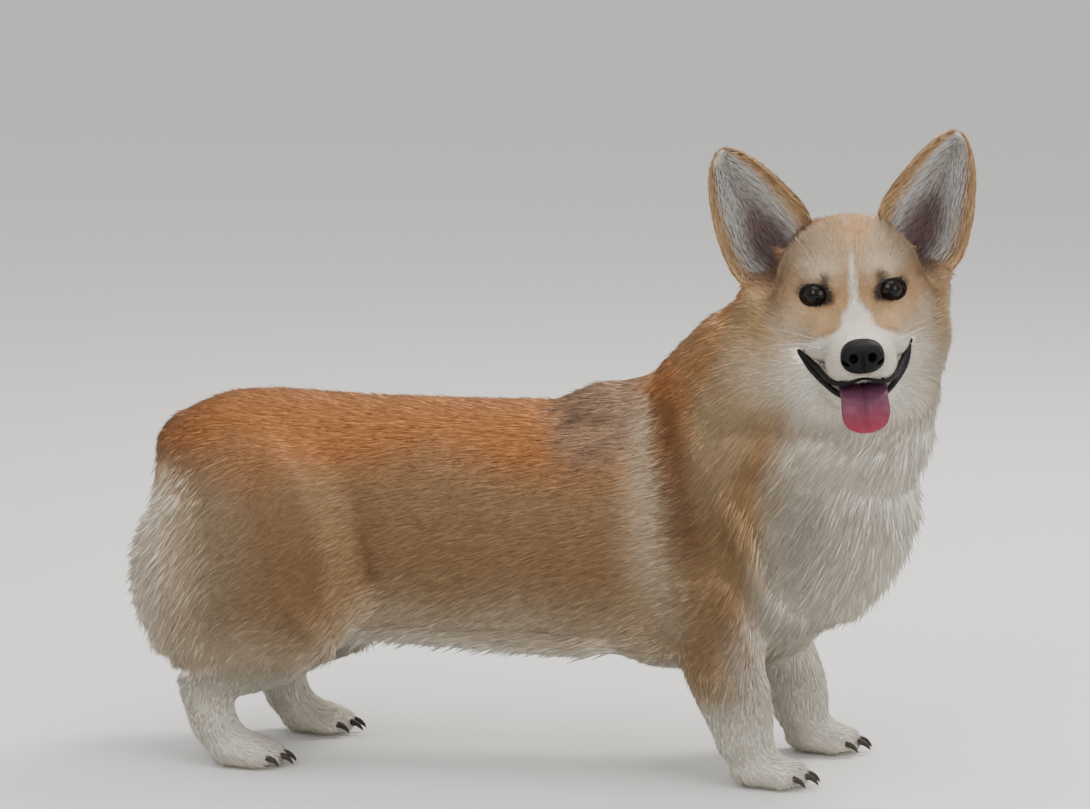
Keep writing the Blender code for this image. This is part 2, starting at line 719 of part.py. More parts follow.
def fore_cell(side, grow):
    """A foreleg with its shoulder."""
    top = pod((17.6, side * 9.8, 9.5), (6.3, 6.7, 9.7), grow)
    return joined(top, stack(FORE_CELL, side, grow), "UNION")


def hind_cell(side, grow):
    """A hind leg with its thigh and culottes."""
    top = pod((-17.6, side * 9.6, 13.0), (9.7, 6.3, 11.6), grow)
    return joined(top, stack(HIND_CELL, side, grow), "UNION")


def below(height, grow=0.0):
    """All under a level."""
    return block((0, 0, height + grow), (0, 0, -1), 80)


in_neck, in_head = zone(neck_cell(0)), zone(pod(*HEAD_POD, place=HEAD))
in_legs = [zone(cell(side, 0)) for cell in (fore_cell, hind_cell) for side, _ in SIDES]

for side, name in SIDES:
    fore, rest = cut_off(rest, lambda grow: fore_cell(side, grow))
    hind, rest = cut_off(rest, lambda grow: hind_cell(side, grow))
    paw_x = {"fore": FORE_WRIST_X + FORE_STEP[side] + 1.4, "hind": HOCK_X + HIND_STEP[side] + 2.2}
    for end, piece, heights in (("fore", fore, (3.2, 10.0)), ("hind", hind, (3.2, KNEE_HEIGHT))):
        for label, height in zip(("paw", "shank"), heights):
            low, piece = cut_off(piece, lambda grow: below(height, grow))
            if label == "paw":
                low = joined(low, shape(add_claws, paw_x[end], side * STANCE_HALF_WIDTH), "UNION")
            node(f"{end}_{label}_{name}", low, "cream_coat")
        if end == "hind":
            in_hind = zone(hind_cell(side, 0))
            piece = with_locks(piece, roots, outline, lambda p: p.z > KNEE_HEIGHT + 0.5 and in_hind(p), side)
            piece = joined(piece, hind_cell(side, 0), "INTERSECT", "MANIFOLD")
            piece = joined(piece, below(KNEE_HEIGHT, GAP), "DIFFERENCE", "MANIFOLD")
        node(("shoulder_" if end == "fore" else "thigh_") + name, piece, "red_coat")



def in_torso(point):
    """Whether a point belongs to the torso."""
    return not (in_neck(point) or in_head(point) or any(leg(point) for leg in in_legs))


neck = with_locks(neck, roots, outline, lambda p: in_neck(p) and not in_head(p), 3)
for cell in (head_cell(GAP), grown(jaw), grown(lower_lip)):
    neck = joined(neck, cell, "DIFFERENCE", "MANIFOLD")
neck = joined(neck, neck_cell(0), "INTERSECT", "MANIFOLD")

rest = with_locks(rest, roots, outline, in_torso, 5)
cells = [neck_cell(GAP), grown(tail)]
cells += [cell(side, GAP) for cell in (fore_cell, hind_cell) for side, _ in SIDES]
for cell in cells:
    rest = joined(rest, cell, "DIFFERENCE", "MANIFOLD")

node("torso", rest, "red_coat")
node("neck", neck, "cream_coat")
node("head", head, "red_coat")
node("lower_jaw", jaw, "cream_coat")
node("upper_lip", upper_lip, "nose_leather")
node("lower_lip", lower_lip, "nose_leather")
node("nose", nose, "nose_leather")
node("tongue", tongue, "tongue")
node("tail", tail, "red_coat")

# The whole dog is set with the middle of its bounding box over the origin.
corners = np.array([v.co for made in bpy.data.objects for v in made.data.vertices])
middle = (corners.min(0) + corners.max(0)) / 2
ORIGIN_SHIFT = Vector((-middle[0], -middle[1], 0))
for made in bpy.data.objects:
    made.data.transform(Matrix.Translation(ORIGIN_SHIFT))
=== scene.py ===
# %% [markdown]
# # A corgi, life size
# This script dresses a plain model of a Pembroke Welsh corgi, a still model that stands with its head turned
# to its right. The plain model gives every place and size. Here it gets a skin, a coat of mesh tufts, eyes
# with lids, a nose, lips, a tongue, claws and whiskers, and then a floor, soft lights and a camera.

import json
import math
import random

import bmesh
import bpy
import numpy as np
from mathutils import Euler, Matrix, Vector
from mathutils.bvhtree import BVHTree

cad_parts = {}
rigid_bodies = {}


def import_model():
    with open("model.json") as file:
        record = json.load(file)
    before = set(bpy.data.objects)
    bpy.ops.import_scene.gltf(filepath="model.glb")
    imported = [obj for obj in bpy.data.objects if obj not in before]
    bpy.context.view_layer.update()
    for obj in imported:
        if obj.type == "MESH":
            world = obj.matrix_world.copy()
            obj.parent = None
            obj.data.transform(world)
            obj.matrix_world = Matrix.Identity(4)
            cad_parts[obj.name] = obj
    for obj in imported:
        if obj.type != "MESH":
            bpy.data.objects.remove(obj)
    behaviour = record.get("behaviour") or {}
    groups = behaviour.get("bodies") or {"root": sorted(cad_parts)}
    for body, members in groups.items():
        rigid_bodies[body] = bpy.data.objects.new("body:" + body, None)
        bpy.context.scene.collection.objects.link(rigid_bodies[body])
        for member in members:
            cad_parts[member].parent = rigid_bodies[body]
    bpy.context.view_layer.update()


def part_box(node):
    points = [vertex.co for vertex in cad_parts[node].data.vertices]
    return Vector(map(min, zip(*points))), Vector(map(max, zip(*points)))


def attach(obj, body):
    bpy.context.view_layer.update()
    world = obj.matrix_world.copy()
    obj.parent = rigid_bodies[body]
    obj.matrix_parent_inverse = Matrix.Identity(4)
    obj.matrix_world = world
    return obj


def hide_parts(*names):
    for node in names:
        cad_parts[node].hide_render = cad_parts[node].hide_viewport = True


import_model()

# %% [markdown]
# The dog was drawn in centimetres, with x from rump to breast, y to its left and z up. The head has a frame
# of its own, half way between the eyes, because everything on the face is easier to place from there. One
# eye is a ball whose middle we know in both frames, so it tells how far the drawing was moved when packed.

# %% The dog's frame and the head's frame
CM = 0.01
SIDES = ((1, "left"), (-1, "right"))
HEAD_PLACE = (26.85, -8.0, 35.8)
HEAD_TURN, HEAD_NOD, HEAD_TILT = 81.0, 2.0, 4.5
EYE_CENTRE = (-0.78, 2.6, 0.4)


def head_frame():
    """Where the head's own frame stands in the dog's."""
    turn = Matrix.Rotation(math.radians(-HEAD_TURN), 4, "Z")
    nod = Matrix.Rotation(math.radians(HEAD_NOD), 4, "Y")
    tilt = Matrix.Rotation(math.radians(HEAD_TILT), 4, "X")
    return Matrix.Translation(HEAD_PLACE) @ turn @ nod @ tilt


HEAD = head_frame()
AXES = np.array(HEAD)[:3, :3]
eye_low, eye_high = (Vector(corner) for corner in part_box("eye_left"))
SHIFT = (eye_low + eye_high) / 2 / CM - HEAD @ Vector(EYE_CENTRE)
print("the drawing was moved by", [round(v, 2) for v in SHIFT], "cm")

# %% [markdown]
# An animal's body is easiest to build from simple masses: lofts for the barrel, neck and limbs, and
# ellipsoids for the muscles. These helpers add such masses to a bmesh. A loft is a row of rings joined by
# faces. A Catmull-Rom curve through a few stations gives the rings between them, so few numbers say much.

# %% Helpers for lofts and ellipsoids
def through(values, steps):
    """Rows read from a smooth curve through the rows given."""
    rows = np.array(values, float)
    ends = np.vstack([2 * rows[0] - rows[1], rows, 2 * rows[-1] - rows[-2]])
    found = []
    for t in np.linspace(0, len(rows) - 1, steps):
        i = min(int(t), len(rows) - 2)
        f = t - i
        a, b, c, d = ends[i : i + 4]
        bend = (2 * a - 5 * b + 4 * c - d) * f + (3 * b - a - 3 * c + d) * f**2
        found.append((b + 0.5 * f * (c - a + bend)).tolist())
    return found


def oval(count, power=2.0):
    """The corners of a unit superellipse, round at power 2 and boxier above it."""
    turns = np.linspace(0, 2 * math.pi, count, endpoint=False)
    c, s = np.cos(turns), np.sin(turns)
    pairs = np.stack([np.sign(c) * np.abs(c) ** (2 / power), np.sign(s) * np.abs(s) ** (2 / power)], 1)
    return pairs.tolist()


def join_rings(form, rings, place=Matrix()):
    """Joins rings of equal count into a closed tube."""
    rows = [[form.verts.new(place @ Vector(point)) for point in ring] for ring in rings]
    count = len(rows[0])
    for low, high in zip(rows, rows[1:]):
        for i in range(count):
            j = (i + 1) % count
            form.faces.new((low[i], low[j], high[j], high[i]))
    for row, first in ((rows[0], True), (rows[-1], False)):
        middle = form.verts.new(sum((v.co for v in row), Vector()) / count)
        for i in range(count):
            pair = (row[i], row[(i + 1) % count])
            form.faces.new((*(reversed(pair) if first else pair), middle))


def barrel(form, stations, power=2.2, count=32, steps=28, place=Matrix()):
    """A loft along x, from stations of (x, top, bottom, half width)."""
    rings = []
    for x, top, bottom, width in through(stations, steps):
        middle, height = (top + bottom) / 2, (top - bottom) / 2
        rings.append([(x, width * a, middle + height * b) for a, b in oval(count, power)])
    join_rings(form, rings, place)


def limb(form, stations, count=20, steps=16, place=Matrix(), flat=1.0, across=(0, 1, 0)):
    """A tube through stations of (x, y, z, radius), its section flattened square to across."""
    path = through(stations, steps)
    rings = []
    for i, (x, y, z, radius) in enumerate(path):
        ahead = Vector(path[min(i + 1, steps - 1)][:3]) - Vector(path[max(i - 1, 0)][:3])
        up = ahead.cross(Vector(across)).normalized()
        side = up.cross(ahead).normalized()
        rings.append([Vector((x, y, z)) + radius * (a * side + flat * b * up) for a, b in oval(count)])
    join_rings(form, rings, place)


def ball(form, centre, radii, turn=(0, 0, 0), place=Matrix(), detail=3):
    """An ellipsoid. turn is in degrees about x, y and z."""
    spin = Euler([math.radians(a) for a in turn]).to_matrix().to_4x4()
    matrix = place @ Matrix.Translation(centre) @ spin @ Matrix.Diagonal((*radii, 1))
    bmesh.ops.create_icosphere(form, subdivisions=detail, radius=1, matrix=matrix)


print("a curve through 0, 2 and 1:", [round(v[0], 2) for v in through([(0,), (2,), (1,)], 5)])

# %% [markdown]
# These are the masses of the body: a long barrel, shoulders, haunches, a thick neck and a stub of a tail.
# They may overlap as they like, because a later step melts them together.

# %% The masses of the body
def body_masses(form):
    """The barrel, shoulders, haunches, neck, breast and tail."""
    stations = [(-25.8, 21.5, 15.0, 3.6), (-24.0, 25.0, 11.5, 6.6), (-19.5, 27.3, 8.8, 8.4)]
    stations += [(-9.0, 27.1, 8.4, 7.8), (1.0, 27.0, 8.0, 8.4), (9.0, 27.5, 7.6, 8.8)]
    stations += [(16.0, 28.2, 7.4, 8.6), (22.0, 26.3, 8.6, 7.3), (26.8, 23.0, 13.5, 4.8)]
    stations += [(29.0, 20.0, 17.0, 2.4)]
    barrel(form, stations)
    for side, _ in SIDES:
        ball(form, (16.3, side * 6.2, 18.2), (5.6, 3.5, 8.0), turn=(0, 20, 0))
        ball(form, (-17.0, side * 5.7, 16.0), (8.4, 4.6, 9.4), turn=(0, -12, 0))
        ball(form, (-20.9, side * 4.9, 14.8), (6.0, 4.5, 7.6), turn=(0, 8, 0))
        ball(form, (-16.2, side * 6.0, 11.6), (7.4, 3.7, 4.6), turn=(0, -8, 0))
    ball(form, (11.0, 0, 24.0), (8.2, 6.0, 4.95))
    ball(form, (-22.9, 0, 20.6), (3.6, 5.8, 5.4))
    neck = [(14.5, 0, 19.5, 8.6), (18.8, -0.3, 24.5, 8.7), (22.9, -1.0, 29.5, 8.1), (25.0, -2.0, 33.5, 6.6)]
    limb(form, neck)
    ball(form, (23.6, -0.8, 21.3), (7.8, 7.6, 10.2), turn=(0, 4, 0))
    ball(form, (26.1, -1.8, 28.0), (6.8, 7.2, 7.5))
    tail = [(-20.5, 0, 25.0, 1.0), (-22.4, 0, 24.8, 1.5), (-24.0, 0, 23.0, 1.5), (-25.0, 0, 21.0, 0.7)]
    limb(form, tail)


trial = bmesh.new()
body_masses(trial)
print("the masses of the body have", len(trial.faces), "faces")
trial.free()

# %% [markdown]
# A corgi's legs are short and straight, and its paws are round, with four toes each. A limb is a tube through
# a few joints, and a paw is one flat ball with four small ones round its front. The left feet stand a step
# ahead of the right ones, and the claws will need the places of the toes again, so a function gives them.

# %% The masses of the legs and paws
STEP = {1: 2.6, -1: 0.0}  # how far the feet of each side stand ahead
WRIST, HOCK, ASIDE = 18.8, -20.8, 6.0  # where the joints lie along the dog, and how far out
PAWS = []
for side, _ in SIDES:
    PAWS += [(WRIST + STEP[side] + 1.4, side * ASIDE), (HOCK + STEP[side] + 2.2, side * ASIDE)]


def toe_spots(x, y):
    """Where the four toes of a paw lie: how far out each is, and its place."""
    spreads = [2 * toe / 3 - 1 for toe in range(4)]
    return [(spread, x + 3.3 * (0.78 - 0.28 * spread**2), y + spread * 1.6) for spread in spreads]


def leg_masses(form):
    """The forelegs, the hind legs with their hocks, and the paws with their toes."""
    for side, _ in SIDES:
        y, step = side * ASIDE, STEP[side]
        wrist, hock = WRIST + step, HOCK + step
        elbow = (17.2 + 0.5 * step, y * 1.05, 10.5, 3.3)
        limb(form, [(16.2, y * 1.05, 15.5, 3.9), elbow, (wrist, y, 4.8, 2.45), (wrist + 0.4, y, 2.4, 2.1)])
        limb(form, [(-12.6, y * 1.08, 12.5, 4.0), (hock + 4.2, y * 1.04, 9.4, 3.6), (hock, y, 7.0, 2.4)])
        limb(form, [(hock - 0.2, y, 7.4, 2.3), (hock, y, 4.8, 1.95), (hock + 0.8, y, 2.2, 1.85)])
    for x, y in PAWS:
        ball(form, (x, y, 1.3), (2.5, 2.3, 1.5))
        for spread, toe_x, toe_y in toe_spots(x, y):
            ball(form, (toe_x, toe_y, 0.95), (1.35, 0.8, 1.15), turn=(0, 0, 10 * spread))


print("paws stand at", [(round(x, 1), y) for x, y in PAWS])

# %% [markdown]
# The head is made the same way in its own frame: skull, stop, muzzle, cheeks and the dropped lower jaw. The
# muzzle and the jaw don't touch ahead of the corners of the mouth, so the mouth stays open.

# %% The masses of the head
def head_masses(form):
    """The skull, brows, ear roots, furred cheeks, muzzle and lower jaw."""
    ball(form, (-4.8, 0, 0.6), (5.4, 5.3, 4.8), place=HEAD)
    ball(form, (-6.8, 0, -1.5), (4.6, 5.6, 5.0), place=HEAD)
    stations = [(-3.0, 1.0, -4.5, 4.3), (-0.6, 0.5, -4.1, 3.5), (1.5, -0.8, -4.5, 2.9)]
    stations += [(3.6, -1.4, -4.9, 2.5), (5.6, -1.8, -5.1, 2.15), (6.7, -2.2, -4.8, 1.7)]
    barrel(form, stations, power=2.3, place=HEAD)
    for side, _ in SIDES:
        ball(form, (-3.6, side * 3.5, -1.4), (3.6, 2.5, 3.4), place=HEAD)
        ball(form, (-5.4, side * 4.2, -3.4), (3.8, 3.0, 3.9), place=HEAD)
        ball(form, (-1.2, side * 1.9, 1.2), (1.7, 1.6, 1.2), place=HEAD)
        ball(form, (4.4, side * 1.2, -3.8), (2.2, 1.35, 1.45), turn=(0, 12, -side * 8), place=HEAD)
        ball(form, (-8.6, side * 4.2, 0.6), (2.2, 2.4, 2.8), turn=(-side * 30, 0, 0), place=HEAD)
        ball(form, (0.6, side * 2.7, -2.5), (2.4, 1.2, 1.7), turn=(0, 8, -side * 12), place=HEAD)
        ball(form, (-6.8, side * 4.8, -1.3), (2.9, 2.5, 2.5), place=HEAD)
        ball(form, (-7.6, side * 6.2, 0.3), (1.8, 1.5, 1.5), place=HEAD)
    stations = [(-1.8, -3.8, -7.0, 3.1), (-0.5, -3.5, -7.2, 3.3), (1.8, -4.95, -7.5, 2.75)]
    stations += [(4.0, -5.75, -7.4, 2.0), (5.6, -6.3, -7.1, 1.0)]
    barrel(form, stations, power=2.3, place=HEAD)


print("the head stands at", HEAD_PLACE)

# %% [markdown]
# ## The skin
# Metaballs or sculpting could blend the masses too. A voxel remesh is chosen because it gives one closed,
# even surface whatever overlaps. The helpers here also hand a mesh's points to numpy as an array and back,
# because moving a hundred thousand points at once is quick that way.

# %% Helpers for meshes as arrays
def guide(mesh, name):
    """A helper object that holds a mesh."""
    made = bpy.data.objects.new(name, mesh)
    bpy.context.scene.collection.objects.link(made)
    return made


def baked(helper):
    """The evaluated mesh of a helper object, which is then removed."""
    bpy.context.view_layer.update()
    graph = bpy.context.evaluated_depsgraph_get()
    mesh = bpy.data.meshes.new_from_object(helper.evaluated_get(graph))
    bpy.data.objects.remove(helper)
    return mesh


def mesh_of(form, name):
    """The mesh of a bmesh, with its faces out."""
    bmesh.ops.recalc_face_normals(form, faces=form.faces)
    mesh = bpy.data.meshes.new(name)
    form.to_mesh(mesh)
    form.free()
    return mesh


def melted(masses, grain):
    """One closed surface round all the masses, with faces of about the grain's size."""
    form = bmesh.new()
    for add in masses:
        add(form)
    helper = guide(mesh_of(form, "masses"), "masses")
    remesh = helper.modifiers.new("melt", "REMESH")
    remesh.mode = "VOXEL"
    remesh.voxel_size = grain
    return baked(helper)


def points_of(mesh, what="co"):
    """The mesh's points as an array, or their normals."""
    flat = np.empty(len(mesh.vertices) * 3)
    mesh.vertices.foreach_get(what, flat)
    return flat.reshape(-1, 3)


def put_points(mesh, points):
    """Gives the mesh's points new places."""
    mesh.vertices.foreach_set("co", points.ravel())
    mesh.update()


def edges_of(mesh):
    """The mesh's edges as pairs of point numbers."""
    flat = np.empty(len(mesh.edges) * 2, np.int32)
    mesh.edges.foreach_get("vertices", flat)
    return flat.reshape(-1, 2)


GRAIN = 0.28
skin_mesh = melted([body_masses, leg_masses, head_masses], GRAIN)
skin_edges = edges_of(skin_mesh)
print("skin:", len(skin_mesh.vertices), "points", len(skin_mesh.polygons), "faces")

# %% [markdown]
# Much of what follows is said with masks. A mask is a number from 0 to 1 at each point of the skin, which
# says where something happens and fades at its border. Sculptors paint masks by hand. Here small functions
# of a point's place give them, in the dog's frame or in the head's, so that nothing depends on the mesh.

# %% Helpers for masks
def in_head(points):
    """Points of the dog's frame as seen from the head's frame."""
    inverse = np.array(HEAD.inverted())
    return points @ inverse[:3, :3].T + inverse[:3, 3]


def folded(face):
    """Points of the head with its right half laid over its left."""
    return np.column_stack([face[:, 0], abs(face[:, 1]), face[:, 2]])


def reach(points, centre, radii):
    """How far out points lie in an oval space: 0 in its middle and 1 on its border."""
    return np.linalg.norm((points - np.array(centre)) / radii, axis=1)


def ramp(value, low, high):
    """0 below low, 1 above high, and smooth between them."""
    t = np.clip((value - low) / (high - low), 0, 1)
    return t * t * (3 - 2 * t)


def blob(a, b, middle, radii):
    """1 in the middle of an oval spot and 0 outside it, fading over its border."""
    away = np.hypot((a - middle[0]) / radii[0], (b - middle[1]) / radii[1])
    return 1 - ramp(away, 0.45, 1.25)


outline = points_of(skin_mesh)
headed = 1 - ramp(reach(in_head(outline), (0, 0, -1), (9, 9, 8)), 0.8, 1.1)
print("the head has", int(headed.sum()), "of the points")

# %% [markdown]
# Fresh from the remesh, the masses still show as lumps. A few rounds of smoothing work like skin drawn over
# muscle. The head gets fewer than the body, so that its features stay crisp. The creases beside the muzzle,
# the smooth flank and withers, and the nape, where head and neck flow together, get many more.

# %% Smooth the surface
def softened(points, edges, share, steps):
    """Points moved towards the middle of their neighbours, step by step. share says by how much."""
    count = len(points)
    degree = np.maximum(np.bincount(edges.ravel(), minlength=count), 1)[:, None]
    one, other = edges.T
    for _ in range(steps):
        total = np.stack([
            np.bincount(one, points[other, k], count) + np.bincount(other, points[one, k], count)
            for k in range(3)
        ], 1)
        points = points + np.reshape(share, (-1, 1)) * 0.5 * (total / degree - points)
    return points


outline = softened(outline, skin_edges, 1, steps=10)
outline = softened(outline, skin_edges, 1 - headed, steps=8)
crease = 1 - ramp(reach(folded(in_head(outline)), (0.2, 3.7, -1.5), (2.6, 1.5, 1.9)), 0.5, 1.1)
outline = softened(outline, skin_edges, crease, steps=40)
x, y, z = outline.T
flank = (1 - ramp(x, -9, -5)) * ramp(x, -23, -18) * ramp(z, 8, 11)
withers = ramp(z, 19, 23) * blob(x, z, (14, 28), (8, 8))
outline = softened(outline, skin_edges, np.maximum(flank, withers) * (1 - headed), steps=50)
nape = 1 - ramp(reach(in_head(outline), (-12.5, 0.5, -5.5), (6.5, 8.5, 6.0)), 0.6, 1.1)
outline = softened(outline, skin_edges, nape, steps=70)
put_points(skin_mesh, outline)
low, high = outline.min(0), outline.max(0)
print("the outline measures", [round(float(v), 1) for v in high - low], "cm")

# %% [markdown]
# A coat hides its skin, so the skin has to lie inside the outline by as much as the coat is deep: little on
# the face and the legs, more on the back, and most where the long coat of the ruff, breast, belly and
# culottes grows. These functions say where the long coat grows and how deep the coat is at each point.

# %% How deep the coat is
SHORT_DEPTH, LONG_DEPTH = 0.42, 1.1


def long_coat(points):
    """How much of the long coat grows at each point, from 0 to 1."""
    x, y, z = points.T
    ruff = ramp(x + 0.45 * z, 26.0, 30.0) * ramp(z, 11.0, 14.0) * ramp(0.9 * (x - 14) - z, -25.0, -21.0)
    culottes = ramp(-x - 0.2 * abs(z - 15), 14.5, 23.0) * ramp(z, 7.0, 11.0) * ramp(-z, -25.5, -21.0)
    fringe = ramp(-z, -11.5, -9.5) * ramp(z, 6.0, 7.0) * ramp(x, -13.0, -9.0) * ramp(-x, -13.0, -9.0)
    off_head = reach(in_head(points), (-2.6, 0, 0.4), (9.7, 9.3, 8.3)) - 1
    ruff = ruff * ramp(off_head, 0.0, 0.45)
    return np.maximum.reduce([ruff, culottes, fringe * ramp(-abs(y), -8.5, -7.0)])


def coat_depth(points):
    """How deep the coat is over the skin, at the points of the outline."""
    near_face = 1 - ramp(reach(in_head(points), (1.0, 0, -2.0), (6.0, 6.5, 6.5)), 0.7, 1.2)
    low = 1 - ramp(points[:, 2], 5.0, 10.0)
    short = SHORT_DEPTH - 0.2 * low
    short = short + (SHORT_DEPTH - short) * 0.5 * headed - 0.27 * near_face
    return np.maximum(short, LONG_DEPTH * long_coat(points))


print("coat over the skin:", round(float(coat_depth(outline).max()), 2), "cm at the deepest")

# %% [markdown]
# On the real dog the flank tucks in ahead of the thigh, and the ruff falls in folds where the head turns.
# Each fold is a line of points: skin near the line is let in a little. The eyes lie in dishes, which take
# away what stands in the way of the lids, and the root of each ear is hollow, so that its cup runs on inward.

# %% Let the skin in under the coat, and give it folds and eye sockets
FOLDS = [  # a line of points, how wide the fold is, and how deep
    ([(-9.0, -9, 21.5), (-8.0, -9, 18.0), (-7.6, -9, 13.5)], 1.2, 0.6),
    ([(-9.0, 9, 21.5), (-8.0, 9, 18.0), (-7.6, 9, 13.5)], 1.2, 0.6),
    ([(17.5, -8, 34.0), (20.5, -10, 29.0), (24.5, -10, 25.5)], 1.2, 0.5),
    ([(14.5, -8, 29.0), (17.5, -10, 25.0), (21.5, -10, 20.5)], 1.4, 0.5),
    ([(11.5, -8, 27.0), (13.0, -10, 20.0), (14.5, -10, 13.0)], 1.8, 0.3),
    ([(11.5, 8, 27.0), (13.0, 10, 20.0), (14.5, 10, 13.0)], 1.8, 0.3),
]
HOLLOW_DEPTH, DISH_DEPTH = 1.5, 1.75


def gaze(side):
    """Where an eye stands, with x ahead along its gaze."""
    x, y, z = EYE_CENTRE
    return HEAD @ Matrix.Translation((x, side * y, z)) @ Matrix.Rotation(math.radians(side * 14), 4, "Z")


def dished(points, side):
    """The skin without what stands ahead of an eye's round dish."""
    place, back = np.array(gaze(side)), np.array(gaze(side).inverted())
    seen = points @ back[:3, :3].T + back[:3, 3]
    across = np.clip(1 - (seen[:, 1] / 1.2) ** 2 - (seen[:, 2] / 1.0) ** 2, 0, None)
    dish = DISH_DEPTH - DISH_DEPTH * np.sqrt(across)
    inside = (across > 0) & (seen[:, 0] > dish) & (seen[:, 0] < 4)
    seen[inside, 0] = dish[inside]
    return seen @ place[:3, :3].T + place[:3, 3]


def let_in(points, normals):
    """The skin under the coat."""
    points = points - coat_depth(points)[:, None] * normals
    face = in_head(points)
    hollow = blob(abs(face[:, 1]), face[:, 2], (5.8, 2.5), (1.5, 1.9)) * ramp(-face[:, 0], 3.5, 5.5)
    hollow = hollow * ramp(face[:, 0], -8.5, -7.0)
    points = points - (HOLLOW_DEPTH * hollow)[:, None] * AXES[:, 0]
    for line, wide, deep in FOLDS:
        path = np.array(through(line, 25))
        gap = np.min(np.linalg.norm(points[:, None] - path[None], axis=2), axis=1)
        points = points - (deep * np.exp(-((gap / wide) ** 2)))[:, None] * normals
    for side, _ in SIDES:
        points = dished(points, side)
    points[:, 2] = np.maximum(points[:, 2], 0.0)
    return points


skin_points = let_in(outline, points_of(skin_mesh, "normal"))
skin_points = softened(skin_points, skin_edges, 1 - 0.6 * headed, steps=2)
skin_points[:, 2] = np.maximum(skin_points[:, 2], 0.0)
put_points(skin_mesh, skin_points)
moved = np.linalg.norm(skin_points - outline, axis=1)
print("the skin lies inside the outline by", round(float(moved.mean()), 2), "cm on average")

# %% [markdown]
# The ears are thin and cupped, which a remesh would spoil, so each is lofted on its own: a back wall that
# bulges between two edges, and an inner wall close to it. Their points join the skin as they are. Each point
# keeps three numbers for the coat: how far from the inner edge to the outer, how far up, and which wall.

# %% The ears
EAR_ROWS = [  # the inner edge's y and z, the outer edge's, then x, and how far the back wall bulges
    ((2.1, 3.9), (6.2, -0.6), -6.0, 2.6),
    ((2.6, 5.7), (8.0, 1.0), -5.7, 2.7),
    ((3.6, 7.15), (9.05, 3.8), -5.4, 2.5),
    ((4.75, 8.45), (9.45, 6.3), -5.3, 2.1),
    ((5.85, 9.5), (9.5, 8.0), -5.3, 1.6),
    ((6.8, 10.2), (9.3, 9.3), -5.35, 1.0),
    ((7.45, 10.5), (8.9, 10.1), -5.4, 0.5),
    ((7.85, 10.65), (8.5, 10.5), -5.45, 0.25),
]
EAR_STEPS, EAR_THICKNESS = 40, 0.38
WALLS = [(0.0, u) for u in np.linspace(0, 1, 24)] + [(1.0, u) for u in np.linspace(0.97, 0.03, 20)]


def ear_form(side):
    """An ear's points and faces, with how far across and up each point is, and 1 for the inner wall."""
    rows = through([(*inner, *outer, x, depth) for inner, outer, x, depth in EAR_ROWS], EAR_STEPS)
    points, marks, faces = [], [], []
    for k, (iy, iz, oy, oz, x, depth) in enumerate(rows):
        thick = min(EAR_THICKNESS, 0.45 * math.hypot(oy - iy, oz - iz))
        for inner, u in WALLS:
            bulge = math.sin(math.pi * u) ** 0.75
            back = 0.8 * u + max(depth - inner * thick, 0.05) * bulge - 0.3 * inner
            points.append(HEAD @ Vector((x - back, side * (iy + (oy - iy) * u), iz + (oz - iz) * u)))
            marks.append((u, k / (len(rows) - 1), inner))
    count = len(WALLS)
    for k in range(len(rows) - 1):
        for i in range(count):
            j = (i + 1) % count
            faces.append([k * count + i, k * count + j, (k + 1) * count + j, (k + 1) * count + i])
    top = (len(rows) - 1) * count
    faces.append(list(range(top, top + count)))
    points, marks = np.array(points), np.array(marks)
    # The faces of the back wall have to look backwards. If they don't, the ear is inside out.
    corners = points[np.array([quad for quad in faces[:-1] if marks[quad, 2].max() < 0.5])]
    outward = np.cross(corners[:, 1] - corners[:, 0], corners[:, 2] - corners[:, 1]).mean(0)
    if outward @ AXES[:, 0] > 0:
        faces = [face[::-1] for face in faces]
    return points, marks, faces


ears = {side: ear_form(side) for side, _ in SIDES}
print("each ear:", len(ears[1][0]), "points and", len(ears[1][2]), "faces")

# %% [markdown]
# ## The markings
# A red and white coat is painted by functions, not by a picture, so that skin and tufts can share it and it
# has no end or seam. Each marking is a mask in the dog's own centimetres, and a colour is mixed in by it. A
# soft wavering of the borders keeps them from looking drawn. Colours are linear, as Blender's shaders are.

# %% Colours of the coat
RED = (0.60, 0.235, 0.075)
TAN = (0.50, 0.305, 0.155)
GOLD = (0.60, 0.385, 0.19)
BROWN = (0.24, 0.105, 0.045)
SABLE = (0.075, 0.05, 0.04)
CREAM = (0.78, 0.62, 0.44)
WHITE = (0.92, 0.845, 0.71)
GREY = (0.58, 0.44, 0.29)
SABLE_BASE, NECK_GOLD = (0.46, 0.33, 0.22), (0.68, 0.50, 0.31)


def waver(points, size):
    """Soft irregular values about 0, with waves of about the size given."""
    draw = np.random.default_rng(5)
    total = 0
    for _ in range(7):
        direction = draw.normal(size=3)
        total = total + np.sin(points @ direction * (4 / size) + draw.uniform(0, 6.28))
    return total / 4


def mix(under, over, mask):
    """A colour or an arrow laid over what is under it, by the mask."""
    return under + np.clip(mask, 0, 1)[:, None] * (np.array(over) - under)


def painted(tone, layers):
    """The tone under layers of colour, each laid on by its mask, from the lowest layer to the highest."""
    for colour, mask in layers:
        tone = mix(tone, colour, mask)
    return tone


print("borders waver by up to", round(float(abs(waver(outline, 7) * 0.9).max()), 1), "cm")
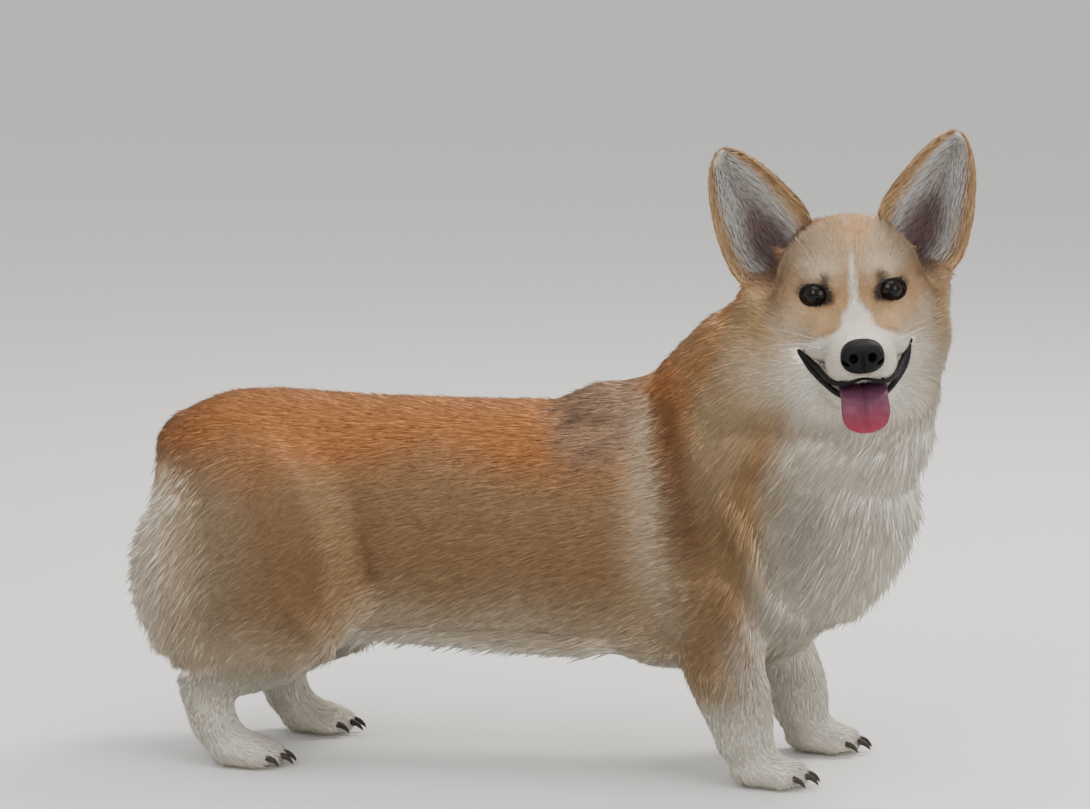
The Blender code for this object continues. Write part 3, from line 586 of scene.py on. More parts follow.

# %% [markdown]
# The body is red on the back, cream below and behind, and white on the breast and the legs. At the withers
# lie a dark sable patch, a pale band and a brown band, which show where the coat parts over the shoulder. A
# darker line along the fold between the flank and the thigh is painted shade.

# %% Markings of the body
def body_tones(points):
    """The body's colours: the back, belly, rear, breast and legs, and the bands at the withers."""
    x, y, z = points.T
    wave, fine = waver(points, 7) * 0.9, waver(points, 1.6)
    ahead, thigh = ramp(x, 10, 15), 3.0 * (1 - ramp(x, -11, -7))
    below = ramp(-z - wave, -16.5 + 5.0 * ahead + thigh, -9.5 + 3.5 * ahead + 0.5 * thigh)
    behind = ramp(-x - 0.15 * abs(z - 15) + 0.8 * wave, 13.5, 22.5) * ramp(-z, -25.2, -21.0)
    sable = blob(x + 0.5 * fine, z + 0.15 * abs(y), (9.0, 28.0), (3.9, 4.2))
    flecks = sable * np.clip(0.22 + 0.4 * fine, 0, 0.8) * (1 - 0.6 * ramp(z, 27.0, 28.5))
    leaning = x - 12.6 - 0.13 * (26 - z) + 0.35 * wave
    pale = np.exp(-((leaning / (1.3 + 0.05 * (26 - z))) ** 2)) * ramp(z, 9, 13) * ramp(-z, -29.5, -27.5)
    neck_side = blob(x - 0.35 * (z - 27), z, (18.6, 27.5), (3.2, 6.5))
    dark = np.exp(-(((x - 15.0 - 0.24 * (25 - z)) / 1.5) ** 2)) * ramp(z, 15.5, 20.0) * ramp(-z, -30.5, -28.0)
    # A line of painted shade along the fold where the flank meets the thigh, where the skin is let in.
    crease = np.exp(-(((x + 7.5 + 0.2 * (z - 15)) / 0.7) ** 2)) * ramp(z, 13.5, 15.0) * ramp(-z, -24, -20)
    bib = ramp(x - (22.6 - 0.21 * (24.3 - z)) + 0.8 * wave, -1.6, 2.6) * ramp(-z, -38, -34)
    return painted(np.tile(np.array(TAN), (len(points), 1)), [
        (RED, ramp(z + wave, 20.5, 26.0)),
        (GOLD, 0.8 * ramp(x - 0.2 * (27 - z), 14.0, 17.5) * ramp(z, 12, 18)),
        (RED, 0.35 * ramp(x, 14, 17) * ramp(z - 0.8 * (x - 14), 26.0, 29.5)),
        (CREAM, below),
        (CREAM, 0.92 * behind),
        (WHITE, 0.5 * ramp(-x + wave, 20.0, 26.0) * ramp(-z, -24.5, -21.0)),
        (CREAM, 0.7 * blob(x + 0.6 * fine, z, (-5.0, 9.5), (5.0, 4.0))),
        (SABLE_BASE, 0.7 * sable),
        (SABLE, flecks),
        (CREAM, 0.8 * pale),
        (NECK_GOLD, 0.7 * neck_side * ramp(abs(y), 3.0, 6.0)),
        (BROWN, 0.72 * dark),
        (BROWN, 0.5 * blob(x, z, (-24.0, 24.5), (2.4, 2.0)) * ramp(-abs(y), -3.5, -1.5)),
        # Painted shade along the fold between flank and thigh.
        (BROWN, crease * (0.35 + 0.4 * ramp(-z, -20, -16))),
        (WHITE, bib),
        (WHITE, ramp(-z, -9.5 + 1.5 * ahead, -7.0 + 1.5 * ahead) * ramp(abs(x), 8, 12)),
        (WHITE, 0.8 * ramp(-abs(y), -5.5, -3.0) * ramp(-z, -11.5, -9.5)),
    ])


body_colours = body_tones(outline)
print("the body's mean colour is", [round(float(v), 2) for v in body_colours.mean(0)])

# %% [markdown]
# The face carries a tan mask with a white blaze between the eyes, a white muzzle and chin, cream cheeks, and
# dark marks above and inside the eyes. The lips come first as two lines of points, because what lies between
# them is painted dark, for the mouth's dark lining and for the shade inside the open mouth, and the lips
# themselves are built on the same lines later.

# %% Markings of the face
UPPER_LIP = [(-0.3, 3.95, -3.35), (1.5, 3.1, -4.3), (4.2, 2.3, -4.95), (6.0, 1.35, -5.0), (6.65, 0.0, -4.6)]
LOWER_LIP = [(-0.3, 3.95, -3.5), (1.2, 3.25, -4.75), (4.0, 1.95, -5.8), (5.4, 0.95, -6.15), (5.75, 0.0, -6.2)]
# The dark between the lips: the mouth's dark lining, with painted shade for the inside of the open mouth.
MOUTH_LINING_AND_SHADE = (0.045, 0.018, 0.02)
# The second colour is dark skin with painted shade, for the hollow at the root of each ear.
BROW_MARK, EAR_ROOT_SKIN_AND_SHADE, LID_SHADE = (0.03, 0.018, 0.015), (0.10, 0.055, 0.045), (0.012, 0.009, 0.009)


def in_mouth(face):
    """Whether points of the head lie between the lips, or in the wedge where the lips meet the cheek."""
    upper, lower = np.array(UPPER_LIP), np.array(LOWER_LIP)
    x, side, z = face[:, 0], abs(face[:, 1]), face[:, 2]
    top = np.interp(x, upper[:, 0], upper[:, 2])
    floor = np.interp(x, lower[:, 0], lower[:, 2])
    inner = np.interp(x, upper[:, 0], upper[:, 1]) - 0.1 + 0.9 * (1 - ramp(x, 1.2, 2.8))
    top = top + 0.12 - 0.22 * ramp(x, 3.8, 5.8)
    between = (z < top) & (z > floor - 0.12) & (x > 0.6)
    over = np.interp(side, upper[::-1, 1], upper[::-1, 2])
    under = np.interp(side, lower[::-1, 1], lower[::-1, 2])
    corner = (z < over) & (z > under) & (side > 2.7) & (side < 3.95) & (x > -1.4)
    return between & (side < inner) | corner


def face_tones(points, tone):
    """The colours of the head, laid over the body's."""
    face = in_head(points)
    x, y, z = face.T
    side, wave = abs(y), waver(face, 2.2) * 0.3
    front, eyes = headed * ramp(x, -9.5, -5.5), ramp(x, -3, -1)
    cheek = ramp(side + 0.8 * wave - 0.35 * z, 2.5, 4.9) * ramp(-z + wave, -0.6, 1.8)
    chin = ramp(-z + wave, 2.6, 4.6) * (1 - 0.65 * ramp(side, 3.9, 5.6))
    half = -0.02 + 0.16 * ramp(-z, -4.0, 0.0) + 0.85 * ramp(-z, 0.0, 1.3) + 3.2 * ramp(-z, 1.2, 3.4)
    blaze = (1 - ramp(side - half + 0.2 * wave, -0.1, 0.24)) * ramp(-z, -6.2, -5.4) * ramp(x, -5.5, -4.0)
    mark = 0.9 * blob(side + 0.2 * (z - 1.2), z, (1.98, 1.25), (0.52, 0.56)) * eyes
    mark = np.maximum(mark, blob(side, z, (1.62, -0.05), (0.42, 0.42)) * eyes)
    # The hollow at the root of each ear is painted dark: the dark skin of its cup running on, with painted
    # shade in the hollow.
    root = blob(side, z, (5.9, 2.4), (1.7, 2.3)) * ramp(-x, 4.0, 5.6) * ramp(x, -8.8, -7.8)
    almond = np.hypot((side - 2.5 - 0.15 * (z - 0.4)) / 1.24, (z - 0.4) / 0.86)
    return painted(tone, [
        (TAN, headed),
        (RED, 0.5 * headed * ramp(z, 2.5, 4.5) * ramp(-x, 1.5, 5.0)),
        (GREY, 0.8 * front * blob(side, z, (2.4, 3.0), (2.6, 2.6))),
        (CREAM, 0.45 * front * blob(side, z, (2.2, 2.1), (1.6, 0.8))),
        (GOLD, 0.85 * front * blob(y, z, (0.3, 4.6), (1.9, 1.6))),
        (RED, 0.35 * front * blob(y, z, (0.6, 4.4), (1.1, 1.1))),
        (CREAM, 0.75 * headed * cheek),
        (WHITE, headed * chin),
        (GOLD, 0.55 * headed * ramp(side, 4.8, 6.6) * ramp(z, -6.5, -3.5)),
        (GOLD, 0.9 * headed * ramp(side, 5.2, 6.4) * ramp(z, -3.6, -1.9) * ramp(x, -9, -7)),
        (GOLD, 0.75 * headed * blob(side, z, (2.9, -1.1), (1.4, 0.7)) * eyes),
        (WHITE, headed * blaze),
        (BROW_MARK, 0.9 * headed * mark),
        (EAR_ROOT_SKIN_AND_SHADE, 0.9 * root),
        (LID_SHADE, 0.96 * headed * (1 - ramp(almond, 0.92, 1.04)) * eyes),
        # Between the lips: the mouth's dark lining, and painted shade for the inside of the open mouth.
        (MOUTH_LINING_AND_SHADE, 1.0 * in_mouth(face)),
    ])


skin_tones = face_tones(outline, body_colours)
print("painted", len(skin_tones), "points, of which", int(in_mouth(in_head(outline)).sum()), "in the mouth")

# %% [markdown]
# An ear is tan behind, with a thin rim, and its cup holds pale grey hair round a darker pink middle. The
# numbers that each point of an ear keeps, across and up, say where each colour goes.

# %% Markings of the ears
CUP_HAIR, CUP_SKIN = (0.52, 0.49, 0.46), (0.13, 0.065, 0.06)


def ear_tones(marks):
    """Tan backs, tan rims, and a cup of pale grey hair round a darker pink middle."""
    u, v, inner = marks.T
    edge = abs(u - 0.5)
    middle = np.maximum(blob(u, v, (0.5, 0.08), (0.3, 0.28)), 0.4 * blob(u, v, (0.45, 0.3), (0.22, 0.4)))
    rim = np.maximum(ramp(edge, 0.32, 0.44), ramp(v, 0.9, 0.98))
    cup = painted(np.tile(np.array(CUP_HAIR), (len(marks), 1)), [(CUP_SKIN, 0.85 * middle), (TAN, rim)])
    back = mix(np.tile(np.array(RED) * 0.9, (len(marks), 1)), TAN, ramp(edge, 0.40, 0.5))
    return np.where(inner[:, None] > 0.5, cup, back)


ear_colours = {side: ear_tones(ears[side][1]) for side, _ in SIDES}
print("an ear's mean colour is", [round(float(v), 2) for v in ear_colours[1].mean(0)])

# %% [markdown]
# ## How the coat lies
# Combing is what makes fur read as fur. The coat flows away from the nose over the face, down and back over
# the neck and haunches, straight down the breast, and back along the body. One arrow at each point of the
# skin says so, and two more numbers give the length and width of the tufts in centimetres.

# %% Comb the coat
def coat_lie(points):
    """The direction in which the coat lies at each point."""
    x, y, z = points.T
    one = np.ones(len(points))
    steep = ramp(-x, 15.0, 25.0)
    nape = ramp(z - 0.9 * (x - 14), 22.0, 27.0)
    arrow = np.stack([-one, 0.03 * y, -0.22 - 0.5 * (1 - ramp(z, 10, 20))], 1)
    haunch = np.stack([-1 + 0.5 * steep, 0.04 * y, -0.55 - 0.55 * steep], 1)
    neck = np.stack([-0.62 * ramp(abs(y), 1.5, 7.0) - 1.1 * nape, 0.03 * y, -one], 1)
    belly = np.stack([-one, 0.08 * y, -0.5 * one], 1)
    arrow = mix(arrow, haunch, (1 - ramp(x, -15.0, -4.0)) * (1 - ramp(z, 21.5, 26.5)))
    arrow = mix(arrow, neck, ramp(x + 0.35 * (z - 24), 13.0, 18.0))
    arrow = mix(arrow, belly, (1 - ramp(z, 8.5, 11.5)) * ramp(-abs(x), -14, -10))
    arrow = mix(arrow, (-0.15, 0, -1), (1 - ramp(z, 8.0, 11.0)) * ramp(abs(x), 10.5, 13.5))
    arrow = mix(arrow, (0.9, 0, -0.6), 1 - ramp(z, 2.0, 4.5))
    face = in_head(points)
    from_nose = face - (10.0, 0, -2.6)
    from_nose = (from_nose / np.linalg.norm(from_nose, axis=1)[:, None]) @ AXES.T
    return mix(arrow, from_nose, 1 - ramp(reach(face, (0, 0, -1), (9, 9, 8)), 0.75, 1.25))


skin_lie = coat_lie(outline)
print("the coat's mean direction is", [round(float(v), 2) for v in skin_lie.mean(0)])

# %% [markdown]
# Real hair is under a tenth of a millimetre thick. Tufts of that width would be too many for a model, so a
# tuft stands for a few dozen hairs, 1 mm wide or less: long on the breast and culottes, and short and fine
# on the muzzle, where the smallest forms have to show through.

# %% Set the length and width of the tufts
BODY_LENGTH, HEAD_LENGTH, MUZZLE_LENGTH = 2.1, 1.7, 0.42
BODY_WIDTH, HEAD_WIDTH, MUZZLE_WIDTH = 0.088, 0.078, 0.064


def tuft_sizes(points):
    """The length and width of the tufts at each point of the outline."""
    x, y, z = points.T
    face = in_head(points)
    near = 1 - ramp(reach(face, (3.5, 0, -2.5), (7.5, 6.5, 6.0)), 0.7, 1.4)
    low = 1 - ramp(z, 4.0, 10.0)
    nape = ramp(z - 0.9 * (x - 14), 20.0, 26.0)
    grown = long_coat(points) * (1 - 0.75 * nape)
    length = BODY_LENGTH + 1.0 * grown
    length = length + headed * (HEAD_LENGTH - length) * (1 - grown)
    length = length * (1 - 0.55 * low * ramp(abs(x), 9, 13) * (1 - grown))
    length = length * (1 - near) + MUZZLE_LENGTH * near
    groove = np.exp(-(((x + 7.5 + 0.2 * (z - 15)) / 1.2) ** 2)) * ramp(z, 13, 15) * ramp(-z, -24, -20)
    by_ear = blob(abs(face[:, 1]), face[:, 2], (5.4, 1.8), (2.3, 2.8)) * ramp(-face[:, 0], 2.0, 4.0)
    length = length * (1 - 0.45 * groove) * (1 - 0.7 * by_ear)
    width = BODY_WIDTH + 0.02 * grown
    width = width + headed * (HEAD_WIDTH - width) * (1 - grown)
    width = width * (1 + 0.15 * low) * (1 - near) + MUZZLE_WIDTH * near
    return length, width


skin_length, skin_width = tuft_sizes(outline)
print("tufts are", round(float(skin_length.min()), 2), "to", round(float(skin_length.max()), 2), "cm long")

# %% [markdown]
# The coat is grown in patches, because one piece must stay light enough to handle. A patch is a mask on the
# skin, 1 where its tufts grow. Nothing grows in the mouth, under the nose leather, behind the lids, in the
# cups of the ears or on the soles of the paws, so that comes first.

# %% Find the bare places
def bare(points):
    """How much of the skin shows no coat: mouth, nose, eyes, cups of the ears and soles of the paws."""
    face = in_head(points)
    both = folded(face)
    seen = 1.0 * in_mouth(face)
    near_lip = np.linalg.norm(both - (3, 2, -4.5), axis=1) < 6
    corner = ramp(-face[:, 0], -1.6, -0.9)
    for line in (UPPER_LIP, LOWER_LIP):
        path = np.array(through(line, 30))
        gap = np.full(len(face), 9.0)
        away = (both[near_lip][:, None] - path[None]) * (0.6, 0.6, 1)
        gap[near_lip] = np.min(np.linalg.norm(away, axis=2), axis=1)
        seen = np.maximum(seen, 1 - ramp(gap - 0.16 * corner, 0.22, 0.34))
    seen = np.maximum(seen, 1 - ramp(reach(face, (6.9, 0, -2.95), (1.5, 1.62, 1.28)), 0.95, 1.05))
    for side, _ in SIDES:
        seen = np.maximum(seen, 1 - ramp(reach(face, (0.3, side * 2.5, 0.4), (2.2, 1.24, 0.88)), 0.9, 1.05))
    cup = blob(both[:, 1], both[:, 2], (6.2, 3.0), (1.6, 2.0)) * ramp(-face[:, 0], 3.0, 4.5)
    cup = cup * ramp(face[:, 0], -9.4, -8.6)
    seen = np.maximum(seen, ramp(cup, 0.3, 0.6))
    return np.maximum(seen, 1 - ramp(points[:, 2], 0.15, 0.5))


growing = 1 - bare(outline)
print("bare:", int((growing < 0.5).sum()), "of", len(outline), "points")

# %% [markdown]
# Planes and ovals in the dog's frame and the head's say which patch a point belongs to: the head first, then
# the legs, the neck, the haunches and the belly, and the flanks take the rest. Most patches are also split
# into left and right. Their borders don't show, because colour and lie don't change there.

# %% Share the skin out between the patches of the coat
x, y, z = outline.T
face = in_head(outline)
is_head = reach(face, (-2.6, 0, 0.4), (9.4, 9.0, 8.0)) < 1
is_head |= (face[:, 0] > -1.5) & (abs(face[:, 1]) < 4.6) & (face[:, 2] > -8.2) & (face[:, 2] < 4) & (x > 20)
is_muzzle = is_head & (reach(face, (3.0, 0, -2.0), (6.0, 5.2, 5.6)) < 1)
is_legs = ~is_head & (z < 8.0) & (abs(x) > 11)
is_neck = ~is_head & ~is_legs & (x + 0.45 * (z - 24) > 16.5)
is_front = is_neck & (x > 23.0 - 0.2 * (24.3 - z)) & (z < 34)
is_haunch = ~is_head & ~is_legs & (x < -9.5 - 0.25 * abs(z - 16)) & (z < 26.2)
is_culottes = is_haunch & (x < -19.5 - 0.12 * abs(z - 15)) & (z > 7)
is_haunch &= ~is_culottes
is_belly = ~is_head & ~is_legs & ~is_neck & ~is_haunch & (z < 11.0)
is_flank = ~(is_head | is_legs | is_neck | is_haunch | is_belly | is_culottes)
patches = {
    "face": is_muzzle,
    "head": is_head & ~is_muzzle,
    "legs": is_legs,
    "breast": is_front,
    "neck_left": is_neck & ~is_front & (y > 0),
    "neck_right": is_neck & ~is_front & (y <= 0),
    "haunch_left": is_haunch & (y > 0),
    "haunch_right": is_haunch & (y <= 0),
    "culottes": is_culottes,
    "belly": is_belly,
    "flank_left": is_flank & (y > 0),
    "flank_right": is_flank & (y <= 0),
}
patches = {name: mask * growing for name, mask in patches.items()}
print("patches of the coat:", ", ".join(patches))

# %% [markdown]
# Body, head and ears now become one mesh in metres, with every number that was worked out stored on its
# points as attributes. Attributes are the way to hand such values to Geometry Nodes and to materials.

# %% Gather the values of the skin and the ears
BEHIND_RISE, CUP_RISE = 0.14, 0.3  # how high the coat stands on the two walls of an ear


def up_ear(points):
    """Along an ear towards its tip, at each of its points."""
    climb = np.gradient(points.reshape(-1, len(WALLS), 3), axis=0).reshape(-1, 3)
    return climb / np.linalg.norm(climb, axis=1)[:, None]


def ear_values(side):
    """What the points of an ear carry for the coat."""
    points, marks, _ = ears[side]
    u, v, inner = marks.T
    cup = inner > 0.5
    out = AXES @ np.array((0, side * 1.0, -0.1))
    inner_hair = inner * (1 - ramp(abs(u - 0.05), 0.05, 0.30)) * (1 - ramp(v, 0.72, 0.95))
    outer_hair = inner * 0.5 * (1 - ramp(u, 0.7, 1.0)) * (1 - ramp(v, 0.5, 0.8))
    behind = 0.3 + 0.45 * (1 - ramp(v, 0.3, 0.8)) + 0.5 * (1 - ramp(v, 0, 0.4))
    rim = 0.25 * ramp(abs(u - 0.5), 0.38, 0.48)
    return {
        "tone": ear_colours[side],
        "lie": up_ear(points) + 0.75 * inner[:, None] * (1 - ramp(u, 0.2, 0.6))[:, None] * out,
        "long": np.where(cup, 1.7 - 0.9 * v, behind),
        "wide": np.where(cup, 0.055, 0.08),
        "rise": np.where(cup, CUP_RISE, BEHIND_RISE),
        "grow_ears": np.where(cup, rim, 1.0) * ramp(v, 0.08, 0.2),
        "grow_ear_hair": np.maximum(inner_hair, outer_hair),
    }


none = np.zeros(len(outline))
values = {
    "tone": [skin_tones],
    "lie": [skin_lie],
    "long": [skin_length],
    "wide": [skin_width],
    "rise": [coat_depth(outline) + 0.06],
    **{"grow_" + name: [mask] for name, mask in patches.items()},
    "grow_ears": [none],
    "grow_ear_hair": [none],
}
for side, _ in SIDES:
    carried = ear_values(side)
    for name, groups in values.items():
        groups.append(carried.get(name, np.zeros(len(ears[side][0]))))
print("values on each point:", ", ".join(values))

# %% [markdown]
# Blender's join operator could bring skin and ears together. Here the points and faces go into a new mesh as
# plain lists, since their order is known, and each list of values then fits its points without a search.

# %% Build the skin object with its attributes
KINDS = {"tone": ("FLOAT_COLOR", "color"), "lie": ("FLOAT_VECTOR", "vector")}
loops = np.empty(len(skin_mesh.loops), np.int32)
skin_mesh.loops.foreach_get("vertex_index", loops)
starts = np.empty(len(skin_mesh.polygons), np.int32)
skin_mesh.polygons.foreach_get("loop_start", starts)
all_faces = [part.tolist() for part in np.split(loops, starts[1:])]
all_points = skin_points
for side, _ in SIDES:
    points, _, ear_faces = ears[side]
    all_faces += [[len(all_points) + i for i in corners] for corners in ear_faces]
    all_points = np.vstack([all_points, points])
skin_data = bpy.data.meshes.new("skin")
skin_data.from_pydata(((all_points + np.array(SHIFT)) * CM).tolist(), [], all_faces)
for name, groups in values.items():
    stack = np.concatenate(groups)
    if name in ("long", "wide", "rise"):
        stack = stack * CM
    if name == "tone":
        stack = np.column_stack([stack, np.ones(len(stack))])
    kind, part = KINDS.get(name, ("FLOAT", "value"))
    skin_data.attributes.new(name, kind, "POINT").data.foreach_set(part, stack.ravel())
skin_data.shade_smooth()
skin = guide(skin_data, "skin")
bpy.data.meshes.remove(skin_mesh)
print("skin object:", len(skin_data.vertices), "points")

# %% [markdown]
# The skin is unwrapped by its own shape, so that each tuft can find the place of its root on a flat map of
# it. Nothing is painted on that map here.

# %% Unwrap the skin by its own shape
for other in bpy.context.selected_objects:
    other.select_set(False)
bpy.context.view_layer.objects.active = skin
skin.select_set(True)
skin_data.uv_layers.new(name="unwrap")
bpy.ops.object.mode_set(mode="EDIT")
bpy.ops.mesh.select_all(action="SELECT")
bpy.ops.uv.smart_project(angle_limit=math.radians(66), island_margin=0.002)
bpy.ops.object.mode_set(mode="OBJECT")
print("unwrapped", len(skin_data.polygons), "faces")

# %% [markdown]
# ## Materials
# Materials are trees of nodes. These helpers add a node with its settings and the values of its inputs, and
# join nodes in rows: from a node and its output, to a node and its input. A group is a tree that several
# materials share. The Principled BSDF itself stays in each material, so that the look can be exported.

# %% Helpers for node trees
def new_node(tree, kind, x=0, values=None, **settings):
    """A node of a kind in a tree, with its settings and the values of its inputs."""
    made = tree.nodes.new(kind)
    made.location.x = x
    for name, value in settings.items():
        setattr(made, name, value)
    for name, value in (values or {}).items():
        made.inputs[name].default_value = value
    return made


def join(tree, *rows):
    """Links nodes. Each row names a node and its output, then a node and its input."""
    for start, output, end, put_into in rows:
        tree.links.new(start.outputs[output], end.inputs[put_into])


def new_group(name, inputs):
    """A shader group with the inputs named, that gives a colour, a roughness and a height."""
    group = bpy.data.node_groups.new(name, "ShaderNodeTree")
    outputs = {"Colour": "Color", "Roughness": "Float", "Height": "Float"}
    for way, sockets in (("INPUT", inputs), ("OUTPUT", outputs)):
        for label, kind in sockets.items():
            group.interface.new_socket(name=label, in_out=way, socket_type="NodeSocket" + kind)
    return group, new_node(group, "NodeGroupInput", -600), new_node(group, "NodeGroupOutput", 600)


def new_material(name, **values):
    """A node material with values on its Principled BSDF. Also gives its tree and that shader."""
    made = bpy.data.materials.new(name)
    made.use_nodes = True
    shader = made.node_tree.nodes["Principled BSDF"]
    for label, value in values.items():
        shader.inputs[label.replace("_", " ")].default_value = value
    return made, made.node_tree, shader


def placed_group(tree, group, **values):
    """The group as a node in a material, with its values."""
    return new_node(tree, "ShaderNodeGroup", -300, values, node_tree=group)


def by_place(tree, group, shader, strength, depth):
    """Feeds a group the place on the object, and its colour, roughness and bumps to the shader."""
    place = new_node(tree, "ShaderNodeTexCoord", -600)
    bump = new_node(tree, "ShaderNodeBump", -100, {"Strength": strength, "Distance": depth})
    join(
        tree,
        (place, "Object", group, "Place"),
        (group, "Colour", shader, "Base Color"),
        (group, "Roughness", shader, "Roughness"),
        (group, "Height", bump, "Height"),
        (bump, "Normal", shader, "Normal"),
    )


print("materials so far:", len(bpy.data.materials), "and groups:", len(bpy.data.node_groups))

# %% [markdown]
# Skin and coat share one look, so what both need is such a group: it takes a tone and gives a colour, a
# roughness and a bump height that vary in a fine grain. Contrast says how far the grain lightens and
# darkens the tone, and Grain how fine it is.

# %% A node group for the grain of hair and hide
def hair_grain_group():
    """Colour, roughness and height that vary along and across hairs, or over hide."""
    inputs = {"Tone": "Color", "Place": "Vector", "Grain": "Float", "Contrast": "Float"}
    group, put_in, put_out = new_group("hair_grain", inputs)
    noise = new_node(group, "ShaderNodeTexNoise", -400, {"Detail": 3.0})
    light = new_node(group, "ShaderNodeMapRange", -200, {"From Min": 0.3, "From Max": 0.7})
    darkest = new_node(group, "ShaderNodeMath", -400, {0: 1.0}, operation="SUBTRACT")
    lightest = new_node(group, "ShaderNodeMath", -400, {0: 1.0}, operation="ADD")
    shade = new_node(group, "ShaderNodeVectorMath", 0, operation="SCALE")
    rough = new_node(group, "ShaderNodeMapRange", 0, {"To Min": 0.52, "To Max": 0.78})
    join(
        group,
        (put_in, "Place", noise, "Vector"),
        (put_in, "Grain", noise, "Scale"),
        (put_in, "Contrast", darkest, 1),
        (put_in, "Contrast", lightest, 1),
        (noise, "Fac", light, "Value"),
        (darkest, 0, light, "To Min"),
        (lightest, 0, light, "To Max"),
        (put_in, "Tone", shade, 0),
        (light, "Result", shade, "Scale"),
        (noise, "Fac", rough, "Value"),
        (shade, 0, put_out, "Colour"),
        (rough, "Result", put_out, "Roughness"),
        (noise, "Fac", put_out, "Height"),
    )
    return group


HAIR_GRAIN = hair_grain_group()
print("group sockets:", [item.name for item in HAIR_GRAIN.interface.items_tree])

# %% [markdown]
# Between the tufts the skin shows through. On the dog that is woolly undercoat of the same colour, so the
# skin takes the coat's own tone from its points, with a matt grain. A picture could be laid on the unwrap
# for that, but a tone on the points needs none.

# %% The material of the skin
hide, hide_tree, hide_shader = new_material("hide", Specular_IOR_Level=0.25)
hide_grain = placed_group(hide_tree, HAIR_GRAIN, Grain=420.0, Contrast=0.22)
hide_tone = new_node(hide_tree, "ShaderNodeAttribute", -600, attribute_name="tone")
join(hide_tree, (hide_tone, "Color", hide_grain, "Tone"))
by_place(hide_tree, hide_grain, hide_shader, strength=0.5, depth=0.0012)
skin_data.materials.append(hide)
print("skin material:", len(hide_tree.nodes), "nodes")

# %% [markdown]
# The tufts keep, from the skin at their root, its tone and its normal. Mixing that normal into their own
# shades a thousand tufts as one soft surface, where each would otherwise glint like a chip. The grain runs
# in narrow stripes along each tuft, which reads as single hairs.

# %% The material of the coat
# The tufts are darker at their root, a painted shade, and paler towards their tip, a painted highlight.
ROOT_SHADE = 0.86
STRIPES = (0.35, 3.2, 9.0)  # how the grain is stretched along a tuft, across it, and from tuft to tuft


def coat_material(name, softness, contrast, glow):
    """Hair: the root's tone, darker at the root and paler at the tip, with stripes along the tuft."""
    made, tree, shader = new_material(
        name, Specular_IOR_Level=0.2, Sheen_Weight=0.25, Sheen_Roughness=0.4
    )
    tone, strand, chance, soft = (
        new_node(tree, "ShaderNodeAttribute", -1200, attribute_name=label)
        for label in ("tone", "strand", "chance", "soft_normal")
    )
    split = new_node(tree, "ShaderNodeSeparateXYZ", -1000)
    # Painted shade at the root of the tuft, and a painted highlight towards its tip.
    along = new_node(tree, "ShaderNodeMapRange", -800, {"To Min": ROOT_SHADE, "To Max": 1.0 + glow})
    each = new_node(tree, "ShaderNodeMapRange", -800, {"To Min": 1 - contrast, "To Max": 1 + contrast})
    shade = new_node(tree, "ShaderNodeMath", -600, operation="MULTIPLY")
    shaded = new_node(tree, "ShaderNodeVectorMath", -400, operation="SCALE")
    move = new_node(tree, "ShaderNodeCombineXYZ", -800)
    stretch = new_node(tree, "ShaderNodeMapping", -600, {"Scale": STRIPES})
    grain = placed_group(tree, HAIR_GRAIN, Grain=2.2, Contrast=0.2)
    blend = new_node(tree, "ShaderNodeMix", -300, data_type="VECTOR")
    blend.inputs["Factor"].default_value = softness
    own = new_node(tree, "ShaderNodeNewGeometry", -600)
    whole = new_node(tree, "ShaderNodeVectorMath", -100, operation="NORMALIZE")
    join(
        tree,
        (strand, "Vector", split, 0),
        (split, "X", along, "Value"),
        (chance, "Fac", each, "Value"),
        (along, "Result", shade, 0),
        (each, "Result", shade, 1),
        (tone, "Color", shaded, 0),
        (shade, 0, shaded, "Scale"),
        (shaded, 0, grain, "Tone"),
        (split, "X", move, 0),
        (split, "Y", move, 1),
        (chance, "Fac", move, 2),
        (move, 0, stretch, "Vector"),
        (stretch, 0, grain, "Place"),
        (grain, "Colour", shader, "Base Color"),
        (grain, "Roughness", shader, "Roughness"),
        (own, "Normal", blend, "A"),
        (soft, "Vector", blend, "B"),
        (blend, "Result", whole, 0),
        (whole, 0, shader, "Normal"),
    )
    return made


COAT = coat_material("coat", softness=0.84, contrast=0.11, glow=0.06)
FACE_COAT = coat_material("face_coat", softness=0.74, contrast=0.13, glow=0.07)
print("coat materials:", COAT.name, "and", FACE_COAT.name, "with", len(COAT.node_tree.nodes), "nodes each")

# %% [markdown]
# ## The coat
# Blender's hair curves would give the finest fur, but a part that is exported needs a mesh. So a few small
# locks are modelled, each a flat, bent spike of a few faces, and Geometry Nodes plants many thousands of
# them on the skin. In a lock's own measure it is 1 long, 1 wide and 1 high.

# %% Model the small locks
SECTION = ((-0.5, -0.12), (0.5, -0.12), (0.0, 0.16))  # across and up, of a lock's three edges


def lock_mesh(name, sections, bend):
    """A closed tapered lock along x, from sections of (along, width, height), with its tip bent aside."""
    form = bmesh.new()
    rows = []
    strand = form.verts.layers.float_vector.new("strand")
    for t, wide, high in sections[:-1]:
        ring = []
        for across, up in SECTION:
            point = form.verts.new((t, across * wide + bend * t * t, high + up * wide))
            point[strand] = (t, across * wide + 0.5, 0)
            ring.append(point)
        rows.append(ring)
    t, _, high = sections[-1]
    tip = form.verts.new((t, bend * t * t, high))
    tip[strand] = (t, 0.5, 0)
    for low, top in zip(rows, rows[1:]):
        for i in range(3):
            j = (i + 1) % 3
            form.faces.new((low[i], low[j], top[j], top[i]))
    for i in range(3):
        form.faces.new((rows[-1][i], rows[-1][(i + 1) % 3], tip))
    form.faces.new(rows[0][::-1])
    made = mesh_of(form, name)
    made.shade_smooth()
    return made


